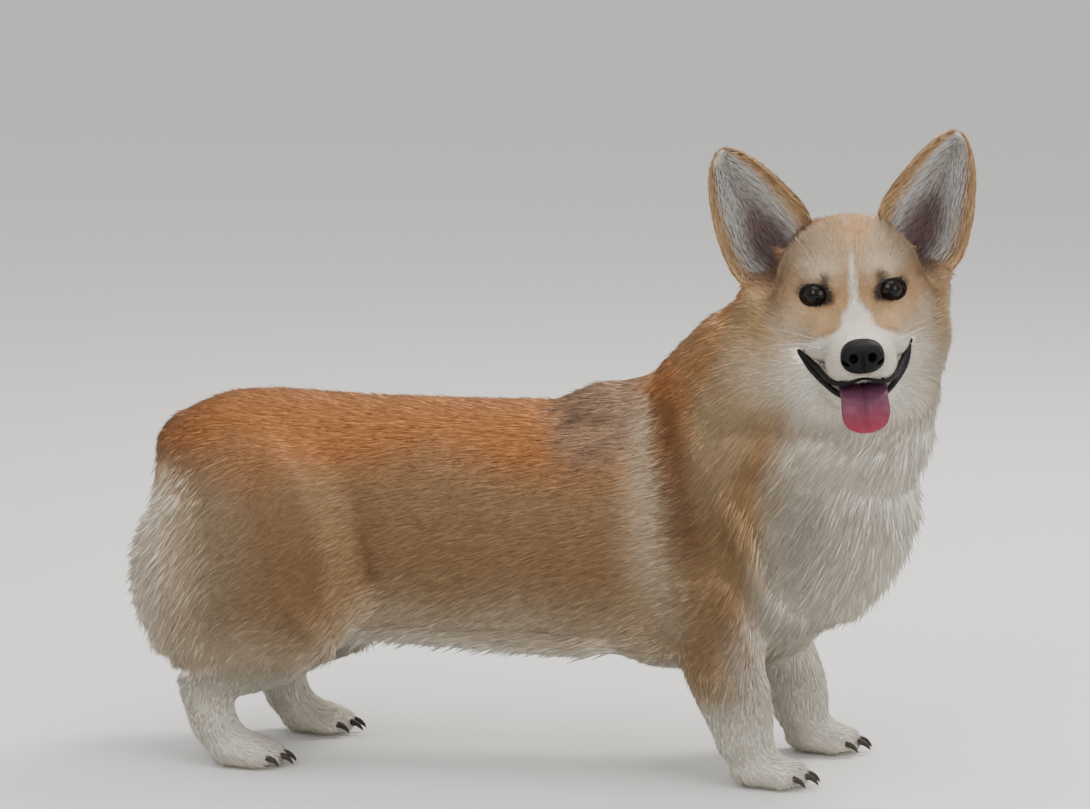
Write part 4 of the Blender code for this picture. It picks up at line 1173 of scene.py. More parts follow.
def lock_kit(name, sections):
    """A collection of three locks of one kind: straight, and bent to either side."""
    kit = bpy.data.collections.new(name)
    for label, bend in (("straight", 0.0), ("left", 0.9), ("right", -0.9)):
        lock = bpy.data.objects.new(f"{name}_{label}", lock_mesh(f"{name}_{label}", sections, bend))
        kit.objects.link(lock)
    return kit


FINE_LOCKS = lock_kit("fine_lock", [(0.0, 1.0, -0.05), (1.0, 0, 0.85)])
SHORT_LOCKS = lock_kit("short_lock", [(0.0, 0.8, -0.05), (0.42, 1.0, 0.78), (1.0, 0, 0.5)])
KITS = (FINE_LOCKS, SHORT_LOCKS)

# %% [markdown]
# The next cells build a tree of Geometry Nodes that plants the locks, stage by stage, and print how many
# nodes it has after each. It starts with named inputs, so that every patch of the coat can use the one tree
# with its own values. The short helpers stand for the nodes that come again and again: a stored value, a
# step of arithmetic, and a random draw for each point, kept apart from the others by its offset.

# %% Start the tree of the coat
COAT_TREE = bpy.data.node_groups.new("grow_coat", "GeometryNodeTree")
COAT_INPUTS = {"Skin": "Geometry", "Patch": "String", "Tufts per square metre": "Float"}
COAT_INPUTS.update({"Locks": "Collection", "Stray": "Float", "Seed": "Int", "Hair": "Material"})
for name, kind in COAT_INPUTS.items():
    COAT_TREE.interface.new_socket(name=name, in_out="INPUT", socket_type="NodeSocket" + kind)
COAT_TREE.interface.new_socket(name="Coat", in_out="OUTPUT", socket_type="NodeSocketGeometry")
put_in = new_node(COAT_TREE, "NodeGroupInput")
put_out = new_node(COAT_TREE, "NodeGroupOutput")
link = COAT_TREE.links.new


def attribute(name, kind="FLOAT"):
    """A value stored on the points."""
    made = new_node(COAT_TREE, "GeometryNodeInputNamedAttribute", 0, {"Name": name}, data_type=kind)
    return made.outputs["Attribute"]


def stored(geometry, name, value, kind, domain="POINT"):
    """A geometry with one more value stored on its points or corners."""
    settings = {"data_type": kind, "domain": domain}
    made = new_node(COAT_TREE, "GeometryNodeStoreNamedAttribute", 0, {"Name": name}, **settings)
    link(geometry, made.inputs["Geometry"])
    link(value, made.inputs["Value"])
    return made.outputs["Geometry"]


def times(one, other, operation="MULTIPLY"):
    """Two numbers multiplied, or divided."""
    made = new_node(COAT_TREE, "ShaderNodeMath", operation=operation)
    link(one, made.inputs[0])
    link(other, made.inputs[1])
    return made.outputs[0]


def arrows(operation, *inputs):
    """A step of arithmetic with arrows. To scale one, its factor comes last, as a socket or a number."""
    made = new_node(COAT_TREE, "ShaderNodeVectorMath", operation=operation)
    for i, value in enumerate(inputs):
        entry = made.inputs["Scale" if operation == "SCALE" and i == 1 else i]
        if isinstance(value, float):
            entry.default_value = value
        else:
            link(value, entry)
    return made.outputs["Value" if operation == "DOT_PRODUCT" else 0]


def chance(low, high, offset, kind="FLOAT"):
    """A random value for each point. The offset keeps one draw apart from the next."""
    made = new_node(COAT_TREE, "FunctionNodeRandomValue", data_type=kind)
    for name, value in (("Min", low), ("Max", high)):
        next(s for s in made.inputs if s.name == name and s.enabled).default_value = value
    add = new_node(COAT_TREE, "ShaderNodeMath", 0, {1: offset}, operation="ADD")
    join(COAT_TREE, (put_in, "Seed", add, 0), (add, 0, made, "Seed"))
    return next(s for s in made.outputs if s.enabled)


print("inputs of the coat's tree:", ", ".join(COAT_INPUTS))

# %% [markdown]
# First the roots: points are scattered over the skin, as thickly as the patch's mask allows. Each point
# keeps the skin's normal, for the shading, and a random number, which tells its lock from its neighbours.

# %% Scatter the roots
mask = new_node(COAT_TREE, "GeometryNodeInputNamedAttribute", data_type="FLOAT")
scatter = new_node(COAT_TREE, "GeometryNodeDistributePointsOnFaces")
join(
    COAT_TREE,
    (put_in, "Patch", mask, "Name"),
    (put_in, "Skin", scatter, "Mesh"),
    (put_in, "Seed", scatter, "Seed"),
)
link(times(mask.outputs["Attribute"], put_in.outputs["Tufts per square metre"]), scatter.inputs["Density"])
roots = stored(scatter.outputs["Points"], "soft_normal", scatter.outputs["Normal"], "FLOAT_VECTOR")
roots = stored(roots, "chance", chance(0.0, 1.0, 3), "FLOAT")
print("nodes with the roots:", len(COAT_TREE.nodes))

# %% [markdown]
# A lock points along the coat's arrow, with a little stray, because a coat that is combed too well looks
# like plastic. What the arrow has of the normal is taken away, so that the lock lies along the skin.

# %% Turn the locks
normal = attribute("soft_normal", "FLOAT_VECTOR")
arrow = arrows("NORMALIZE", attribute("lie", "FLOAT_VECTOR"))
stray = chance((-1, -1, -1), (1, 1, 1), 5, "FLOAT_VECTOR")
arrow = arrows("ADD", arrow, arrows("SCALE", stray, put_in.outputs["Stray"]))
off_skin = arrows("SCALE", normal, arrows("DOT_PRODUCT", arrow, normal))
turn = new_node(COAT_TREE, "FunctionNodeAxesToRotation", primary_axis="X", secondary_axis="Z")
link(arrows("SUBTRACT", arrow, off_skin), turn.inputs["Primary Axis"])
link(normal, turn.inputs["Secondary Axis"])
print("nodes with the turn:", len(COAT_TREE.nodes))

# %% [markdown]
# Its length, width and height come from the numbers stored on the skin, each varied by a draw. One lock in
# eight is thinner and stands higher, as the guard hairs of a real coat stand above its wool.

# %% Size the locks
GUARD_HAIRS = {"From Min": 0.88, "To Min": 1.0, "To Max": 1.55}
guard = new_node(COAT_TREE, "ShaderNodeMapRange", 0, GUARD_HAIRS)
link(attribute("chance"), guard.inputs["Value"])
size = new_node(COAT_TREE, "ShaderNodeCombineXYZ")
wide = times(attribute("wide"), chance(0.7, 1.25, 9))
high = times(attribute("rise"), chance(0.6, 1.1, 11))
link(times(attribute("long"), chance(0.7, 1.2, 7)), size.inputs["X"])
link(times(wide, guard.outputs["Result"], "DIVIDE"), size.inputs["Y"])
link(times(high, guard.outputs["Result"]), size.inputs["Z"])
print("nodes with the size:", len(COAT_TREE.nodes))

# %% [markdown]
# Instances alone would be lighter, but they are only turned and scaled as a whole. The next stage bends
# each lock, so they are made real here.

# %% Plant the locks
APART = {"Separate Children": True, "Reset Children": True}
kit = new_node(COAT_TREE, "GeometryNodeCollectionInfo", 0, APART)
plant = new_node(COAT_TREE, "GeometryNodeInstanceOnPoints", 0, {"Pick Instance": True})
real = new_node(COAT_TREE, "GeometryNodeRealizeInstances")
link(roots, plant.inputs["Points"])
link(chance(0, 2, 13, "INT"), plant.inputs["Instance Index"])
join(
    COAT_TREE,
    (put_in, "Locks", kit, "Collection"),
    (kit, "Instances", plant, "Instance"),
    (turn, "Rotation", plant, "Rotation"),
    (size, 0, plant, "Scale"),
    (plant, "Instances", real, "Geometry"),
)
print("nodes with the locks:", len(COAT_TREE.nodes))

# %% [markdown]
# A straight lock on a round form sticks out at its tip. So each point past the first third of a lock is laid
# back over the nearest point of the skin, at a height held between a lowest and a highest rise. Bent locks
# could be modelled for that, but no one bend fits both a flank and a paw.

# %% Lay the locks back on the skin
nearest = new_node(COAT_TREE, "GeometryNodeProximity", target_element="FACES")
facing = new_node(COAT_TREE, "GeometryNodeSampleNearestSurface", data_type="FLOAT_VECTOR")
join(COAT_TREE, (put_in, "Skin", nearest, "Geometry"), (put_in, "Skin", facing, "Mesh"))
link(new_node(COAT_TREE, "GeometryNodeInputNormal").outputs[0], facing.inputs["Value"])
here = new_node(COAT_TREE, "GeometryNodeInputPosition").outputs[0]
above = arrows("SUBTRACT", here, nearest.outputs["Position"])
rise = attribute("rise")
held = new_node(COAT_TREE, "ShaderNodeClamp")
link(arrows("DOT_PRODUCT", above, facing.outputs["Value"]), held.inputs["Value"])
link(times(rise, chance(0.35, 0.6, 15)), held.inputs["Min"])
link(times(times(rise, chance(0.8, 1.2, 17)), guard.outputs["Result"]), held.inputs["Max"])
lifted = arrows("SCALE", facing.outputs["Value"], held.outputs[0])
strand = attribute("strand", "FLOAT_VECTOR")
along = new_node(COAT_TREE, "ShaderNodeSeparateXYZ")
link(strand, along.inputs[0])
outer = new_node(COAT_TREE, "FunctionNodeCompare", 0, {1: 0.3}, operation="GREATER_THAN")
follow = new_node(COAT_TREE, "GeometryNodeSetPosition")
link(arrows("ADD", nearest.outputs["Position"], lifted), follow.inputs["Position"])
join(
    COAT_TREE,
    (along, "X", outer, 0),
    (outer, 0, follow, "Selection"),
    (real, "Geometry", follow, "Geometry"),
)
print("nodes with the laying back:", len(COAT_TREE.nodes))

# %% [markdown]
# At the end each lock gets a UV map of its own, OFBake: a spot about 0.003 across, at its root's place on the
# flat map of the skin. The map is shrunk a little, so that a spot at its edge still fits. The last node puts
# the material on.

# %% Give the locks their map and material
MAP_SPOT, MAP_SHRINK = 0.003, 0.997
unwrapped = arrows("SCALE", attribute("unwrap", "FLOAT_VECTOR"), MAP_SHRINK)
spot = arrows("ADD", unwrapped, arrows("SCALE", strand, MAP_SPOT))
mapped = stored(follow.outputs["Geometry"], "OFBake", spot, "FLOAT2", "CORNER")
finish = new_node(COAT_TREE, "GeometryNodeSetMaterial")
link(mapped, finish.inputs["Geometry"])
join(COAT_TREE, (put_in, "Hair", finish, "Material"), (finish, "Geometry", put_out, "Coat"))
print("nodes of the whole tree:", len(COAT_TREE.nodes))

# %% [markdown]
# Each patch is grown on a copy of the skin by a modifier with this tree, baked to a plain mesh, and cleaned
# of the numbers that only the tree needed. The tree counts tufts by area, so the area of the patch is
# measured first. A patch stays under 200,000 triangles.

# %% Grow the coat, patch by patch
NEEDED_TO_GROW = ("lie", "long", "wide", "rise", "unwrap")


def grown_area(mask_name):
    """The area of skin in square metres on which a patch grows, counted by its mask."""
    mask = np.empty(len(skin_data.vertices))
    skin_data.attributes[mask_name].data.foreach_get("value", mask)
    return sum(face.area * mask[list(face.vertices)].mean() for face in skin_data.polygons)


def grow(name, tufts, locks, stray, hair, seed):
    """A patch of the coat with about the number of tufts given, as a plain mesh."""
    area = grown_area("grow_" + name)
    helper = guide(skin_data.copy(), "growing")
    nodes = helper.modifiers.new("coat", "NODES")
    nodes.node_group = COAT_TREE
    settings = {"Patch": "grow_" + name, "Tufts per square metre": tufts / area, "Locks": locks}
    settings.update({"Stray": stray, "Seed": seed, "Hair": hair})
    for item in COAT_TREE.interface.items_tree:
        if item.name in settings:
            nodes[item.identifier] = settings[item.name]
    mesh = baked(helper)
    places = points_of(mesh)
    places[:, 2] = np.maximum(places[:, 2], 0.0)
    put_points(mesh, places)
    for layer in [layer.name for layer in mesh.attributes]:
        if layer.startswith("grow_") or layer in NEEDED_TO_GROW:
            mesh.attributes.remove(mesh.attributes[layer])
    piece = guide(mesh, "coat_" + name)
    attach(piece, "root")
    triangles = sum(len(face.vertices) - 2 for face in mesh.polygons)
    print(f"coat_{name}: {area * 1e4:.0f} cm2, {triangles} triangles")
    return piece


coat = [
    grow("face", 28000, FINE_LOCKS, 0.12, FACE_COAT, 11),
    grow("head", 38000, FINE_LOCKS, 0.14, FACE_COAT, 12),
    grow("legs", 32000, FINE_LOCKS, 0.14, COAT, 13),
    grow("breast", 42000, FINE_LOCKS, 0.16, COAT, 14),
    grow("neck_left", 22000, FINE_LOCKS, 0.15, COAT, 15),
    grow("neck_right", 18000, FINE_LOCKS, 0.15, COAT, 16),
    grow("haunch_left", 25000, FINE_LOCKS, 0.13, COAT, 17),
    grow("haunch_right", 25000, FINE_LOCKS, 0.13, COAT, 18),
    grow("culottes", 32000, FINE_LOCKS, 0.15, COAT, 24),
    grow("belly", 22000, FINE_LOCKS, 0.18, COAT, 19),
    grow("flank_left", 36000, FINE_LOCKS, 0.12, COAT, 20),
    grow("flank_right", 36000, FINE_LOCKS, 0.12, COAT, 21),
    grow("ears", 14000, FINE_LOCKS, 0.12, COAT, 22),
    grow("ear_hair", 6000, SHORT_LOCKS, 0.16, COAT, 23),
]
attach(skin, "root")
print("the coat has", len(coat), "pieces")

# %% [markdown]
# ## Eyes, lids, nose, lips, tongue, claws and whiskers
# These are bare, hard or wet, so each is a piece of its own with its own material. Leathery skin on the
# nose, lids and lips is the same stuff at different sizes: cells with creases between them. One node group
# makes it, and a wet part gets a clear coat over it.

# %% A node group for leathery skin
def leather_group():
    """Colour, roughness and height of skin with small cells and creases."""
    inputs = {"Tone": "Color", "Place": "Vector", "Cells": "Float", "Smooth": "Float"}
    group, put_in, put_out = new_group("leather_cells", inputs)
    cells = new_node(group, "ShaderNodeTexVoronoi", -300, feature="DISTANCE_TO_EDGE")
    patchy = new_node(group, "ShaderNodeTexNoise", -300, {"Scale": 160.0})
    crease = new_node(group, "ShaderNodeMapRange", 0, {"From Max": 0.12})
    shade = new_node(group, "ShaderNodeMapRange", 0, {"To Min": 0.7, "To Max": 1.5})
    shaded = new_node(group, "ShaderNodeVectorMath", 200, operation="SCALE")
    rough = new_node(group, "ShaderNodeMath", 200, {1: 0.3}, operation="MULTIPLY_ADD")
    join(
        group,
        (put_in, "Place", cells, "Vector"),
        (put_in, "Cells", cells, "Scale"),
        (put_in, "Place", patchy, "Vector"),
        (cells, "Distance", crease, "Value"),
        (patchy, "Fac", shade, "Value"),
        (put_in, "Tone", shaded, 0),
        (shade, "Result", shaded, "Scale"),
        (patchy, "Fac", rough, 0),
        (put_in, "Smooth", rough, 2),
        (shaded, 0, put_out, "Colour"),
        (rough, 0, put_out, "Roughness"),
        (crease, "Result", put_out, "Height"),
    )
    return group


LEATHER = leather_group()
COAT_ROUGHNESS = 0.18


def leather(name, tone, cells, smooth, deep, wet=0.0, attribute=None):
    """Bare skin: cells per metre, a tone or a tone attribute, and a wet coat where it shines."""
    made, tree, shader = new_material(
        name, Specular_IOR_Level=0.14 + 0.5 * wet, Coat_Weight=wet, Coat_Roughness=COAT_ROUGHNESS
    )
    grain = placed_group(tree, LEATHER, Tone=(*tone, 1), Cells=cells, Smooth=smooth)
    if attribute:
        own = new_node(tree, "ShaderNodeAttribute", -600, attribute_name=attribute)
        join(tree, (own, "Color", grain, "Tone"))
    by_place(tree, grain, shader, strength=0.6, depth=deep)
    return made


print("leather group sockets:", [item.name for item in LEATHER.interface.items_tree])

# %% [markdown]
# An eye is a ball whose clear front bulges a little. The rings of pupil, iris and white lie at fixed angles
# from the gaze, so each point stores its angle and the material reads it. That needs no image and no unwrap.
# The fine flecks of the iris are a noise that shifts the angle a little.

# %% The material of the eyes
def eye_material():
    """Pupil, brown iris, dark rim and white, under a wet clear front."""
    made, tree, shader = new_material("eye_wet", Specular_IOR_Level=0.2)
    angle = new_node(tree, "ShaderNodeAttribute", -900, attribute_name="angle")
    place = new_node(tree, "ShaderNodeTexCoord", -900)
    flecks = new_node(tree, "ShaderNodeTexNoise", -700, {"Scale": 1400.0})
    jitter = new_node(tree, "ShaderNodeMath", -500, {1: 0.1}, operation="MULTIPLY_ADD")
    gloss = new_node(tree, "ShaderNodeMapRange", -300, {"To Min": 0.03, "To Max": 0.09})
    rings = new_node(tree, "ShaderNodeValToRGB", -300)
    pupil, iris_edge, iris = (0.002, 0.002, 0.003), (0.007, 0.004, 0.003), (0.011, 0.005, 0.003)
    stops = [(0.0, pupil), (0.30, pupil), (0.36, iris_edge), (0.60, iris)]
    stops += [(0.74, (0.006, 0.004, 0.003)), (0.95, (0.03, 0.018, 0.015))]
    elements = rings.color_ramp.elements
    while len(elements) < len(stops):
        elements.new(0.5)
    for element, (position, tone) in zip(elements, stops):
        element.position, element.color = position, (*tone, 1)
    join(
        tree,
        (place, "Object", flecks, "Vector"),
        (flecks, "Fac", jitter, 0),
        (angle, "Fac", jitter, 2),
        (jitter, 0, rings, "Fac"),
        (flecks, "Fac", gloss, "Value"),
        (rings, "Color", shader, "Base Color"),
        (gloss, "Result", shader, "Roughness"),
    )
    return made


EYE = eye_material()
print("eye material:", EYE.name, "with", len(EYE.node_tree.nodes), "nodes")

# %% [markdown]
# The ball itself is a UV sphere with its pole turned to the gaze, so that its rings of points run round the
# pupil, and its front is pushed out a little for the cornea. Every bare piece ends in the same way: moved
# to metres, smooth, with its material, riding on the body and standing for the plain model's node.

# %% The eyes
EYE_RADIUS = 1.0
WHITE_ANGLE = 1.2  # the angle in radians at which the stored value is 1


def finished(form, name, nodes, material):
    """A piece in metres from a bmesh in centimetres, riding on the body and standing for nodes."""
    mesh = mesh_of(form, name)
    mesh.transform(Matrix.Scale(CM, 4) @ Matrix.Translation(SHIFT))
    mesh.shade_smooth()
    mesh.materials.append(material)
    piece = guide(mesh, name)
    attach(piece, "root")
    if nodes:
        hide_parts(*nodes)
    print(name, "has", len(mesh.polygons), "faces")
    return piece


for side, label in SIDES:
    form = bmesh.new()
    to_pole = Matrix.Rotation(math.radians(90), 4, "Y")
    bmesh.ops.create_uvsphere(form, u_segments=48, v_segments=32, radius=EYE_RADIUS, matrix=to_pole)
    ring = form.verts.layers.float.new("angle")
    for point in form.verts:
        turned = point.co.angle(Vector((1, 0, 0)))
        point[ring] = turned / WHITE_ANGLE
        point.co *= 1 + 0.05 * math.exp(-((turned / 0.55) ** 2))
    bmesh.ops.transform(form, matrix=gaze(side), verts=form.verts)
    finished(form, f"eye_ball_{label}", [f"eye_{label}"], EYE)

# %% [markdown]
# A dog's eye looks almond-shaped because black rims of bare skin frame it, with a point at the inner corner.
# Curves with a bevel would give an even ring. Here small ovals are joined round an almond, since each can
# then be thicker above and turned to lie on the ball.

# %% The lids
BLACK = (0.007, 0.006, 0.007)
LID_LEATHER = leather("lid_leather", BLACK, 1800.0, 0.5, 0.00012)
LID_STEPS, LID_CORNERS = 56, 10


def lid_ring(form, side, wide, high, radius):
    """The rims of the lids round an eye: an almond ring, thicker above, pointed at the inner corner."""
    rows = []
    for i in range(LID_STEPS):
        t = 2 * math.pi * i / LID_STEPS
        c, s = math.cos(t), math.sin(t)
        inner = max(-c * side, 0) ** 6
        thick = radius * (1 + 0.25 * max(s, 0) - 0.35 * abs(c) ** 4)
        ahead = 0.62 - 0.14 * c * c - 0.1 * inner
        middle = Vector((ahead, (wide + 0.12 * inner) * c, high * s - 0.12 * inner))
        outward, forward = Vector((0.25, c, s * 1.1)).normalized(), Vector((0.95, -0.1 * c, 0))
        ring = [middle + thick * (a * outward + b * forward) for a, b in oval(LID_CORNERS)]
        rows.append([form.verts.new(gaze(side) @ point) for point in ring])
    for low, top in zip(rows, rows[1:] + rows[:1]):
        for k in range(LID_CORNERS):
            m = (k + 1) % LID_CORNERS
            form.faces.new((low[k], low[m], top[m], top[k]))


for side, label in SIDES:
    form = bmesh.new()
    lid_ring(form, side, 1.04, 0.71, 0.125)
    finished(form, f"lid_rims_{label}", [f"lids_{label}"], LID_LEATHER)

# %% [markdown]
# The nose is carved: a loft for the leather, a Boolean for the nostrils with their slits, then a fine voxel
# remesh and a little smoothing, so that every edge is soft as it is on a dog. A groove runs down its front.

# %% The nose
NOSE_LEATHER = leather("nose_pebbles", (0.0045, 0.0045, 0.005), 1100.0, 0.3, 0.0003)
NOSE_GRAIN, GROOVE_DEPTH, GROOVE_WIDTH = 0.055, 0.16, 0.11
form = bmesh.new()
stations = [(5.8, -2.0, -3.9, 1.2), (6.6, -1.8, -4.2, 1.5), (7.4, -2.0, -4.1, 1.455), (7.8, -2.45, -3.8, 0.9)]
barrel(form, stations, power=2.4, count=48, steps=30, place=HEAD)
nose_block = guide(mesh_of(form, "nose_block"), "nose_block")
form = bmesh.new()
for side, _ in SIDES:
    ball(form, (7.75, side * 0.66, -3.0), (0.75, 0.30, 0.34), (0, 0, side * 18), HEAD)
    ball(form, (7.35, side * 1.2, -3.32), (0.7, 0.45, 0.13), (side * 22, 0, side * 38), HEAD)
nostrils = guide(mesh_of(form, "nostrils"), "nostrils")
carve = nose_block.modifiers.new("carve", "BOOLEAN")
carve.operation, carve.solver, carve.object = "DIFFERENCE", "EXACT", nostrils
even = nose_block.modifiers.new("even", "REMESH")
even.mode, even.voxel_size = "VOXEL", NOSE_GRAIN
nose_mesh = baked(nose_block)
bpy.data.objects.remove(nostrils)
nose_points = softened(points_of(nose_mesh), edges_of(nose_mesh), 1, steps=5)
seen = in_head(nose_points)
groove = np.exp(-((seen[:, 1] / GROOVE_WIDTH) ** 2))
groove *= ramp(seen[:, 0], 6.6, 7.3) * ramp(-seen[:, 2], 2.5, 3.1)
nose_points -= (GROOVE_DEPTH * groove)[:, None] * AXES[:, 0]
put_points(nose_mesh, nose_points)
form = bmesh.new()
form.from_mesh(nose_mesh)
finished(form, "nose_carved", ["nose"], NOSE_LEATHER)

# %% [markdown]
# The lips are soft black edges, which widen the open mouth into the dog's smile. Each is a tube along the
# lines that were given with the markings. Its ends lie on the cheek, and so that they neither sink in nor
# float, the nearest point of the skin is looked up for them in a BVH tree, which is a quick index of faces.

# %% The lips
SURFACE = BVHTree.FromPolygons(
    [v.co for v in skin_data.vertices], [list(p.vertices) for p in skin_data.polygons]
)
LIP_LEATHER = leather("lip_leather", BLACK, 1500.0, 0.4, 0.00018)
LIP_LIFT = 0.17


def at_cheek(x, y, z):
    """The skin's point nearest to a point of the head, lifted off it by most of a lip's radius."""
    hit, normal, _, _ = SURFACE.find_nearest((HEAD @ Vector((x, y, z)) + SHIFT) * CM)
    return tuple(HEAD.inverted() @ (hit / CM - SHIFT + normal * LIP_LIFT))


def lip(form, line, radius, front):
    """A dark lip along both sides of the mouth and round its front, finer at its ends and in front."""
    x, y, z = line[0]
    path = [at_cheek(x, -y, z)] + [(x, -y, z) for x, y, z in line[1:]]
    path += list(reversed(line[1:-1])) + [at_cheek(x, y, z)]
    taper = [0.65, 1.0, 1.0, 0.8, front, 0.8, 1.0, 1.0, 0.65]
    stations = [(*point, radius * t) for point, t in zip(path, taper)]
    limb(form, stations, count=12, steps=72, place=HEAD, across=(0.6, 0, 1))


for name, line, radius, front in (("upper_lip", UPPER_LIP, 0.2, 0.5), ("lower_lip", LOWER_LIP, 0.21, 0.9)):
    form = bmesh.new()
    lip(form, line, radius, front)
    finished(form, name + "_soft", [name], LIP_LEATHER)

# %% [markdown]
# The tongue hangs over the lower lip, with a trough along its middle. It is paler pink above and deeper
# towards its tip, which a tone attribute on its points carries. Its wet shine comes from the coat layer.

# %% The tongue
TONGUE_FLESH = leather("tongue_flesh", (0.5, 0.15, 0.19), 2200.0, 0.3, 0.00016, 0.15, attribute="tone")
TONGUE_WIDTH, TONGUE_THICKNESS = 1.64, 0.55
TONGUE_ROOT, TONGUE_TIP = Vector((0.085, 0.026, 0.052)), Vector((0.25, 0.014, 0.03))
TONGUE_LINE = [  # along the middle: x and z in the head, and the share of the width
    (1.4, -4.75, 0.85),
    (4.3, -5.35, 1.0),
    (6.05, -6.0, 1.0),
    (6.72, -7.0, 1.02),
    (6.66, -7.7, 0.92),
    (6.58, -8.15, 0.7),
    (6.52, -8.42, 0.28),
]


def from_zero_to_one(value):
    """The value, held between 0 and 1."""
    return min(max(value, 0), 1)


form = bmesh.new()
stations = [(x, 0, z, share * TONGUE_WIDTH) for x, z, share in TONGUE_LINE]
limb(form, stations, count=32, steps=64, place=HEAD, flat=TONGUE_THICKNESS / 2 / TONGUE_WIDTH)
tone_of = form.verts.layers.float_color.new("tone")
back_to_head = HEAD.inverted()
for point in form.verts:
    seen = back_to_head @ point.co
    front = (seen.x - 5.9) if seen.z < -6.2 else (seen.z + 6.2) + (seen.x - 4.3) * 0.35
    trough = math.exp(-((seen.y / 0.22) ** 2)) * (1 if front > 0.2 else 0)
    curl = 0.10 * math.cos(seen.y * 2.2) * from_zero_to_one((-seen.z - 6.4) / 1.5)
    seen.x -= 0.13 * trough - curl
    point.co = HEAD @ seen
    deep = from_zero_to_one((-seen.z - 5.6) / 3.0)
    # Darker along the trough in the middle: painted shade in the groove, less towards the tip.
    shade = 1 - 0.279 * trough * (1 - 0.5 * deep)
    point[tone_of] = (*(TONGUE_ROOT.lerp(TONGUE_TIP, deep**1.5) * shade), 1)
finished(form, "tongue_wet", ["tongue"], TONGUE_FLESH)

# %% [markdown]
# Claws are horn, dark and slightly worn. Each is a short tube that bends down from the front of a toe and
# tapers to a blunt tip. The plain model has them in its paws, which the skin replaces, so they come back
# here as one piece.

# %% The claws
CLAW_HORN = leather("claw_horn", (0.035, 0.028, 0.024), 700.0, 0.3, 0.00006)
CLAW_LINE = [  # how far ahead of its root, how high, and the radius
    (0.0, 0.98, 0.24),
    (0.45, 0.86, 0.2),
    (0.8, 0.58, 0.12),
    (0.95, 0.34, 0.03),
]
form = bmesh.new()
for x, y in PAWS:
    for _, toe_x, toe_y in toe_spots(x, y):
        stations = [(toe_x + 0.9 + ahead, toe_y, height, radius) for ahead, height, radius in CLAW_LINE]
        limb(form, stations, count=10, steps=9)
finished(form, "claws", [], CLAW_HORN)

# %% [markdown]
# Whiskers are single stiff hairs that taper to nothing. A thin tube along a drooping line makes each. They
# start in the white fur of the upper lip, in three rows, and a seeded draw varies their length and lie.

# %% The whiskers
WHISKER_HAIR = leather("whisker_hair", (0.72, 0.69, 0.64), 500.0, 0.35, 0.00002)
WHISKERS_A_SIDE = 6
WHISKER_TAPER = ((0.0, 0.009), (0.35, 0.008), (0.7, 0.005), (1.0, 0.002))  # how far along, and the radius
DROOP = Vector((0.25, 0, 0.3))
form = bmesh.new()
draw = random.Random(31)
for side, _ in SIDES:
    for i in range(WHISKERS_A_SIDE):
        root = Vector((4.9 - 0.5 * i, side * (2.2 + 0.12 * i), -2.3 - 0.25 * (i % 3)))
        length = draw.uniform(2.6, 4.0)
        out = Vector((draw.uniform(-0.1, 0.5), side * draw.uniform(0.8, 1.1), draw.uniform(0.0, 0.5)))
        out.normalize()
        line = [(*(root + out * length * t - DROOP * t * t), radius) for t, radius in WHISKER_TAPER]
        limb(form, line, count=5, steps=9, place=HEAD, across=(0.3, 0.1, 1))
finished(form, "whiskers", [], WHISKER_HAIR)

# %% [markdown]
# ## Camera, floor and lights
# The photograph was taken from the dog's right, a little ahead of its middle and a little above it. A long
# lens from 3 metres away gives its flat view. Moving the camera closer with a short lens would fill the
# frame too, but it would swell the head, which is the nearest part.

# %% The camera
DISTANCE, LENS = 3.0, 134.8
AROUND, ABOVE = math.radians(10), math.radians(8)
camera_data = bpy.data.cameras.new("camera")
camera_data.sensor_width = 36.0
camera_data.sensor_fit = "HORIZONTAL"
camera_data.lens = LENS
camera = bpy.data.objects.new("camera", camera_data)
bpy.context.scene.collection.objects.link(camera)
aim = (Vector((3.4, 0, 26.6)) + SHIFT) * CM
level = math.cos(ABOVE)
look = Vector((-math.sin(AROUND) * level, math.cos(AROUND) * level, -math.sin(ABOVE)))
camera.location = aim - DISTANCE * look
camera.rotation_euler = look.to_track_quat("-Z", "Y").to_euler()
bpy.context.scene.camera = camera
print("camera at", [round(v, 3) for v in camera.location])

# %% [markdown]
# Soft lights suit fur, because hard ones turn each tuft into a streak. Four large area lights stand for a
# studio: one behind for a bright rim, one above, one in front and one beside. A pale world fills the shade.

# %% The lights
def softbox(name, place, size, power, tone=(1, 1, 1)):
    """A square area light aimed at the dog."""
    data = bpy.data.lights.new(name, "AREA")
    data.size, data.energy, data.color = size, power, tone
    made = bpy.data.objects.new(name, data)
    bpy.context.scene.collection.objects.link(made)
    made.location = place
    made.rotation_euler = (aim - Vector(place)).to_track_quat("-Z", "Y").to_euler()
    return made


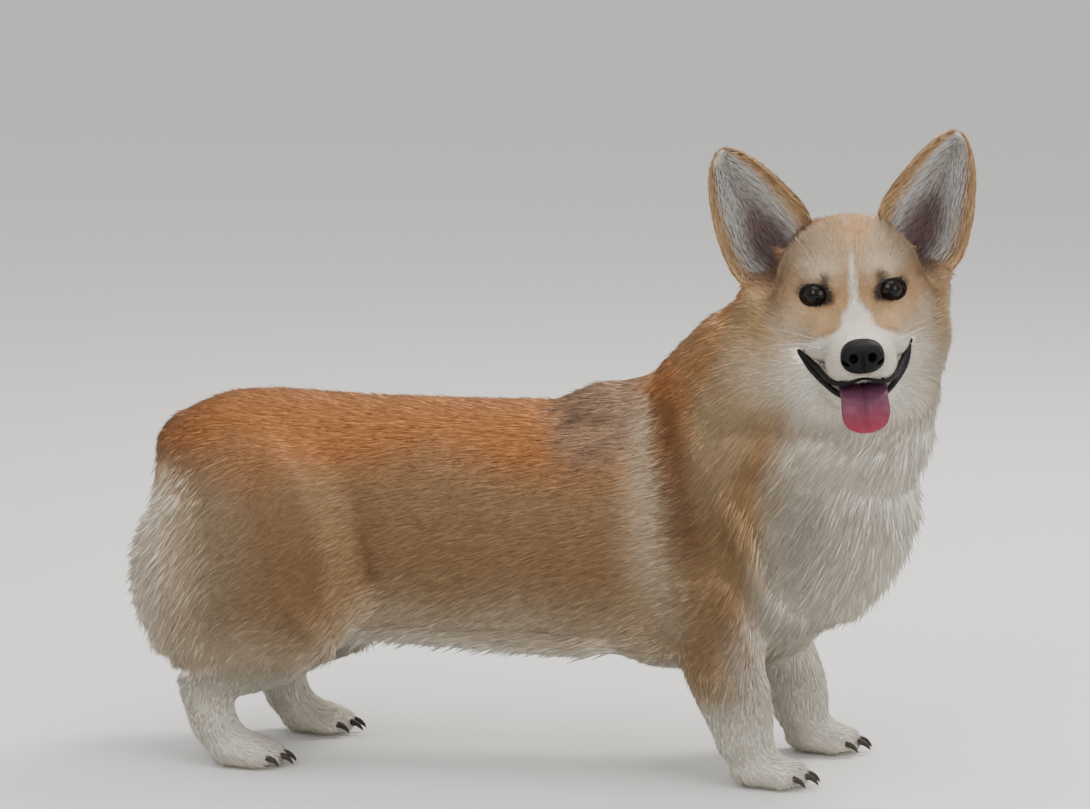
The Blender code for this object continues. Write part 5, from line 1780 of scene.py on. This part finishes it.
lamps = [
    softbox("back_light", (0.9, 1.3, 2.2), 1.0, 55, (1.0, 0.95, 0.88)),
    softbox("top_light", (0.1, -0.6, 2.8), 2.2, 45),
    softbox("front_light", (-0.7, -2.7, 1.9), 1.5, 38),
    softbox("side_light", (1.9, -1.4, 0.9), 1.2, 16),
]
world = bpy.data.worlds.new("studio")
world.use_nodes = True
backdrop = world.node_tree.nodes["Background"].inputs
backdrop["Color"].default_value = (0.90, 0.895, 0.885, 1)
backdrop["Strength"].default_value = 0.95
bpy.context.scene.world = world
print("lights:", ", ".join(lamp.name for lamp in lamps))

# %% [markdown]
# The floor is a wide disc with plain pale paint, so that the dog stands on something and casts a shadow. A
# faint speckle in its tone and gloss keeps it from looking like paper.

# %% The floor
FLOOR_RADIUS = 40
form = bmesh.new()
bmesh.ops.create_circle(form, cap_ends=True, segments=96, radius=FLOOR_RADIUS)
floor_data = bpy.data.meshes.new("floor")
form.to_mesh(floor_data)
form.free()
floor = guide(floor_data, "floor")
paint, tree, shader = new_material("floor_paint")
spot = new_node(tree, "ShaderNodeTexCoord", -800)
speckle = new_node(tree, "ShaderNodeTexNoise", -600, {"Scale": 60.0})
matt = new_node(tree, "ShaderNodeMapRange", -300, {"To Min": 0.6, "To Max": 0.8})
tint = new_node(tree, "ShaderNodeValToRGB", -300)
for element, grey in zip(tint.color_ramp.elements, ((0.70, 0.70, 0.68, 1), (0.74, 0.74, 0.72, 1))):
    element.color = grey
join(
    tree,
    (spot, "Object", speckle, "Vector"),
    (speckle, "Fac", matt, "Value"),
    (speckle, "Fac", tint, "Fac"),
    (matt, "Result", shader, "Roughness"),
    (tint, "Color", shader, "Base Color"),
)
floor_data.materials.append(paint)
print("the floor is", 2 * FLOOR_RADIUS, "m across")

# %% [markdown]
# Last, every plain node of flesh is hidden, since the skin takes its place. The loose locks, which were only
# patterns, are taken out.

# %% Finish
flesh = ["torso", "neck", "head", "lower_jaw", "tail"]
for _, label in SIDES:
    flesh += [f"ear_{label}", f"shoulder_{label}", f"fore_shank_{label}", f"fore_paw_{label}"]
    flesh += [f"thigh_{label}", f"hind_shank_{label}", f"hind_paw_{label}"]
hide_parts(*flesh)
for kit in KITS:
    for lock in list(kit.objects):
        bpy.data.objects.remove(lock)
    bpy.data.collections.remove(kit)
print("the skin stands for", len(flesh), "nodes, and wears", len(coat), "pieces of coat")
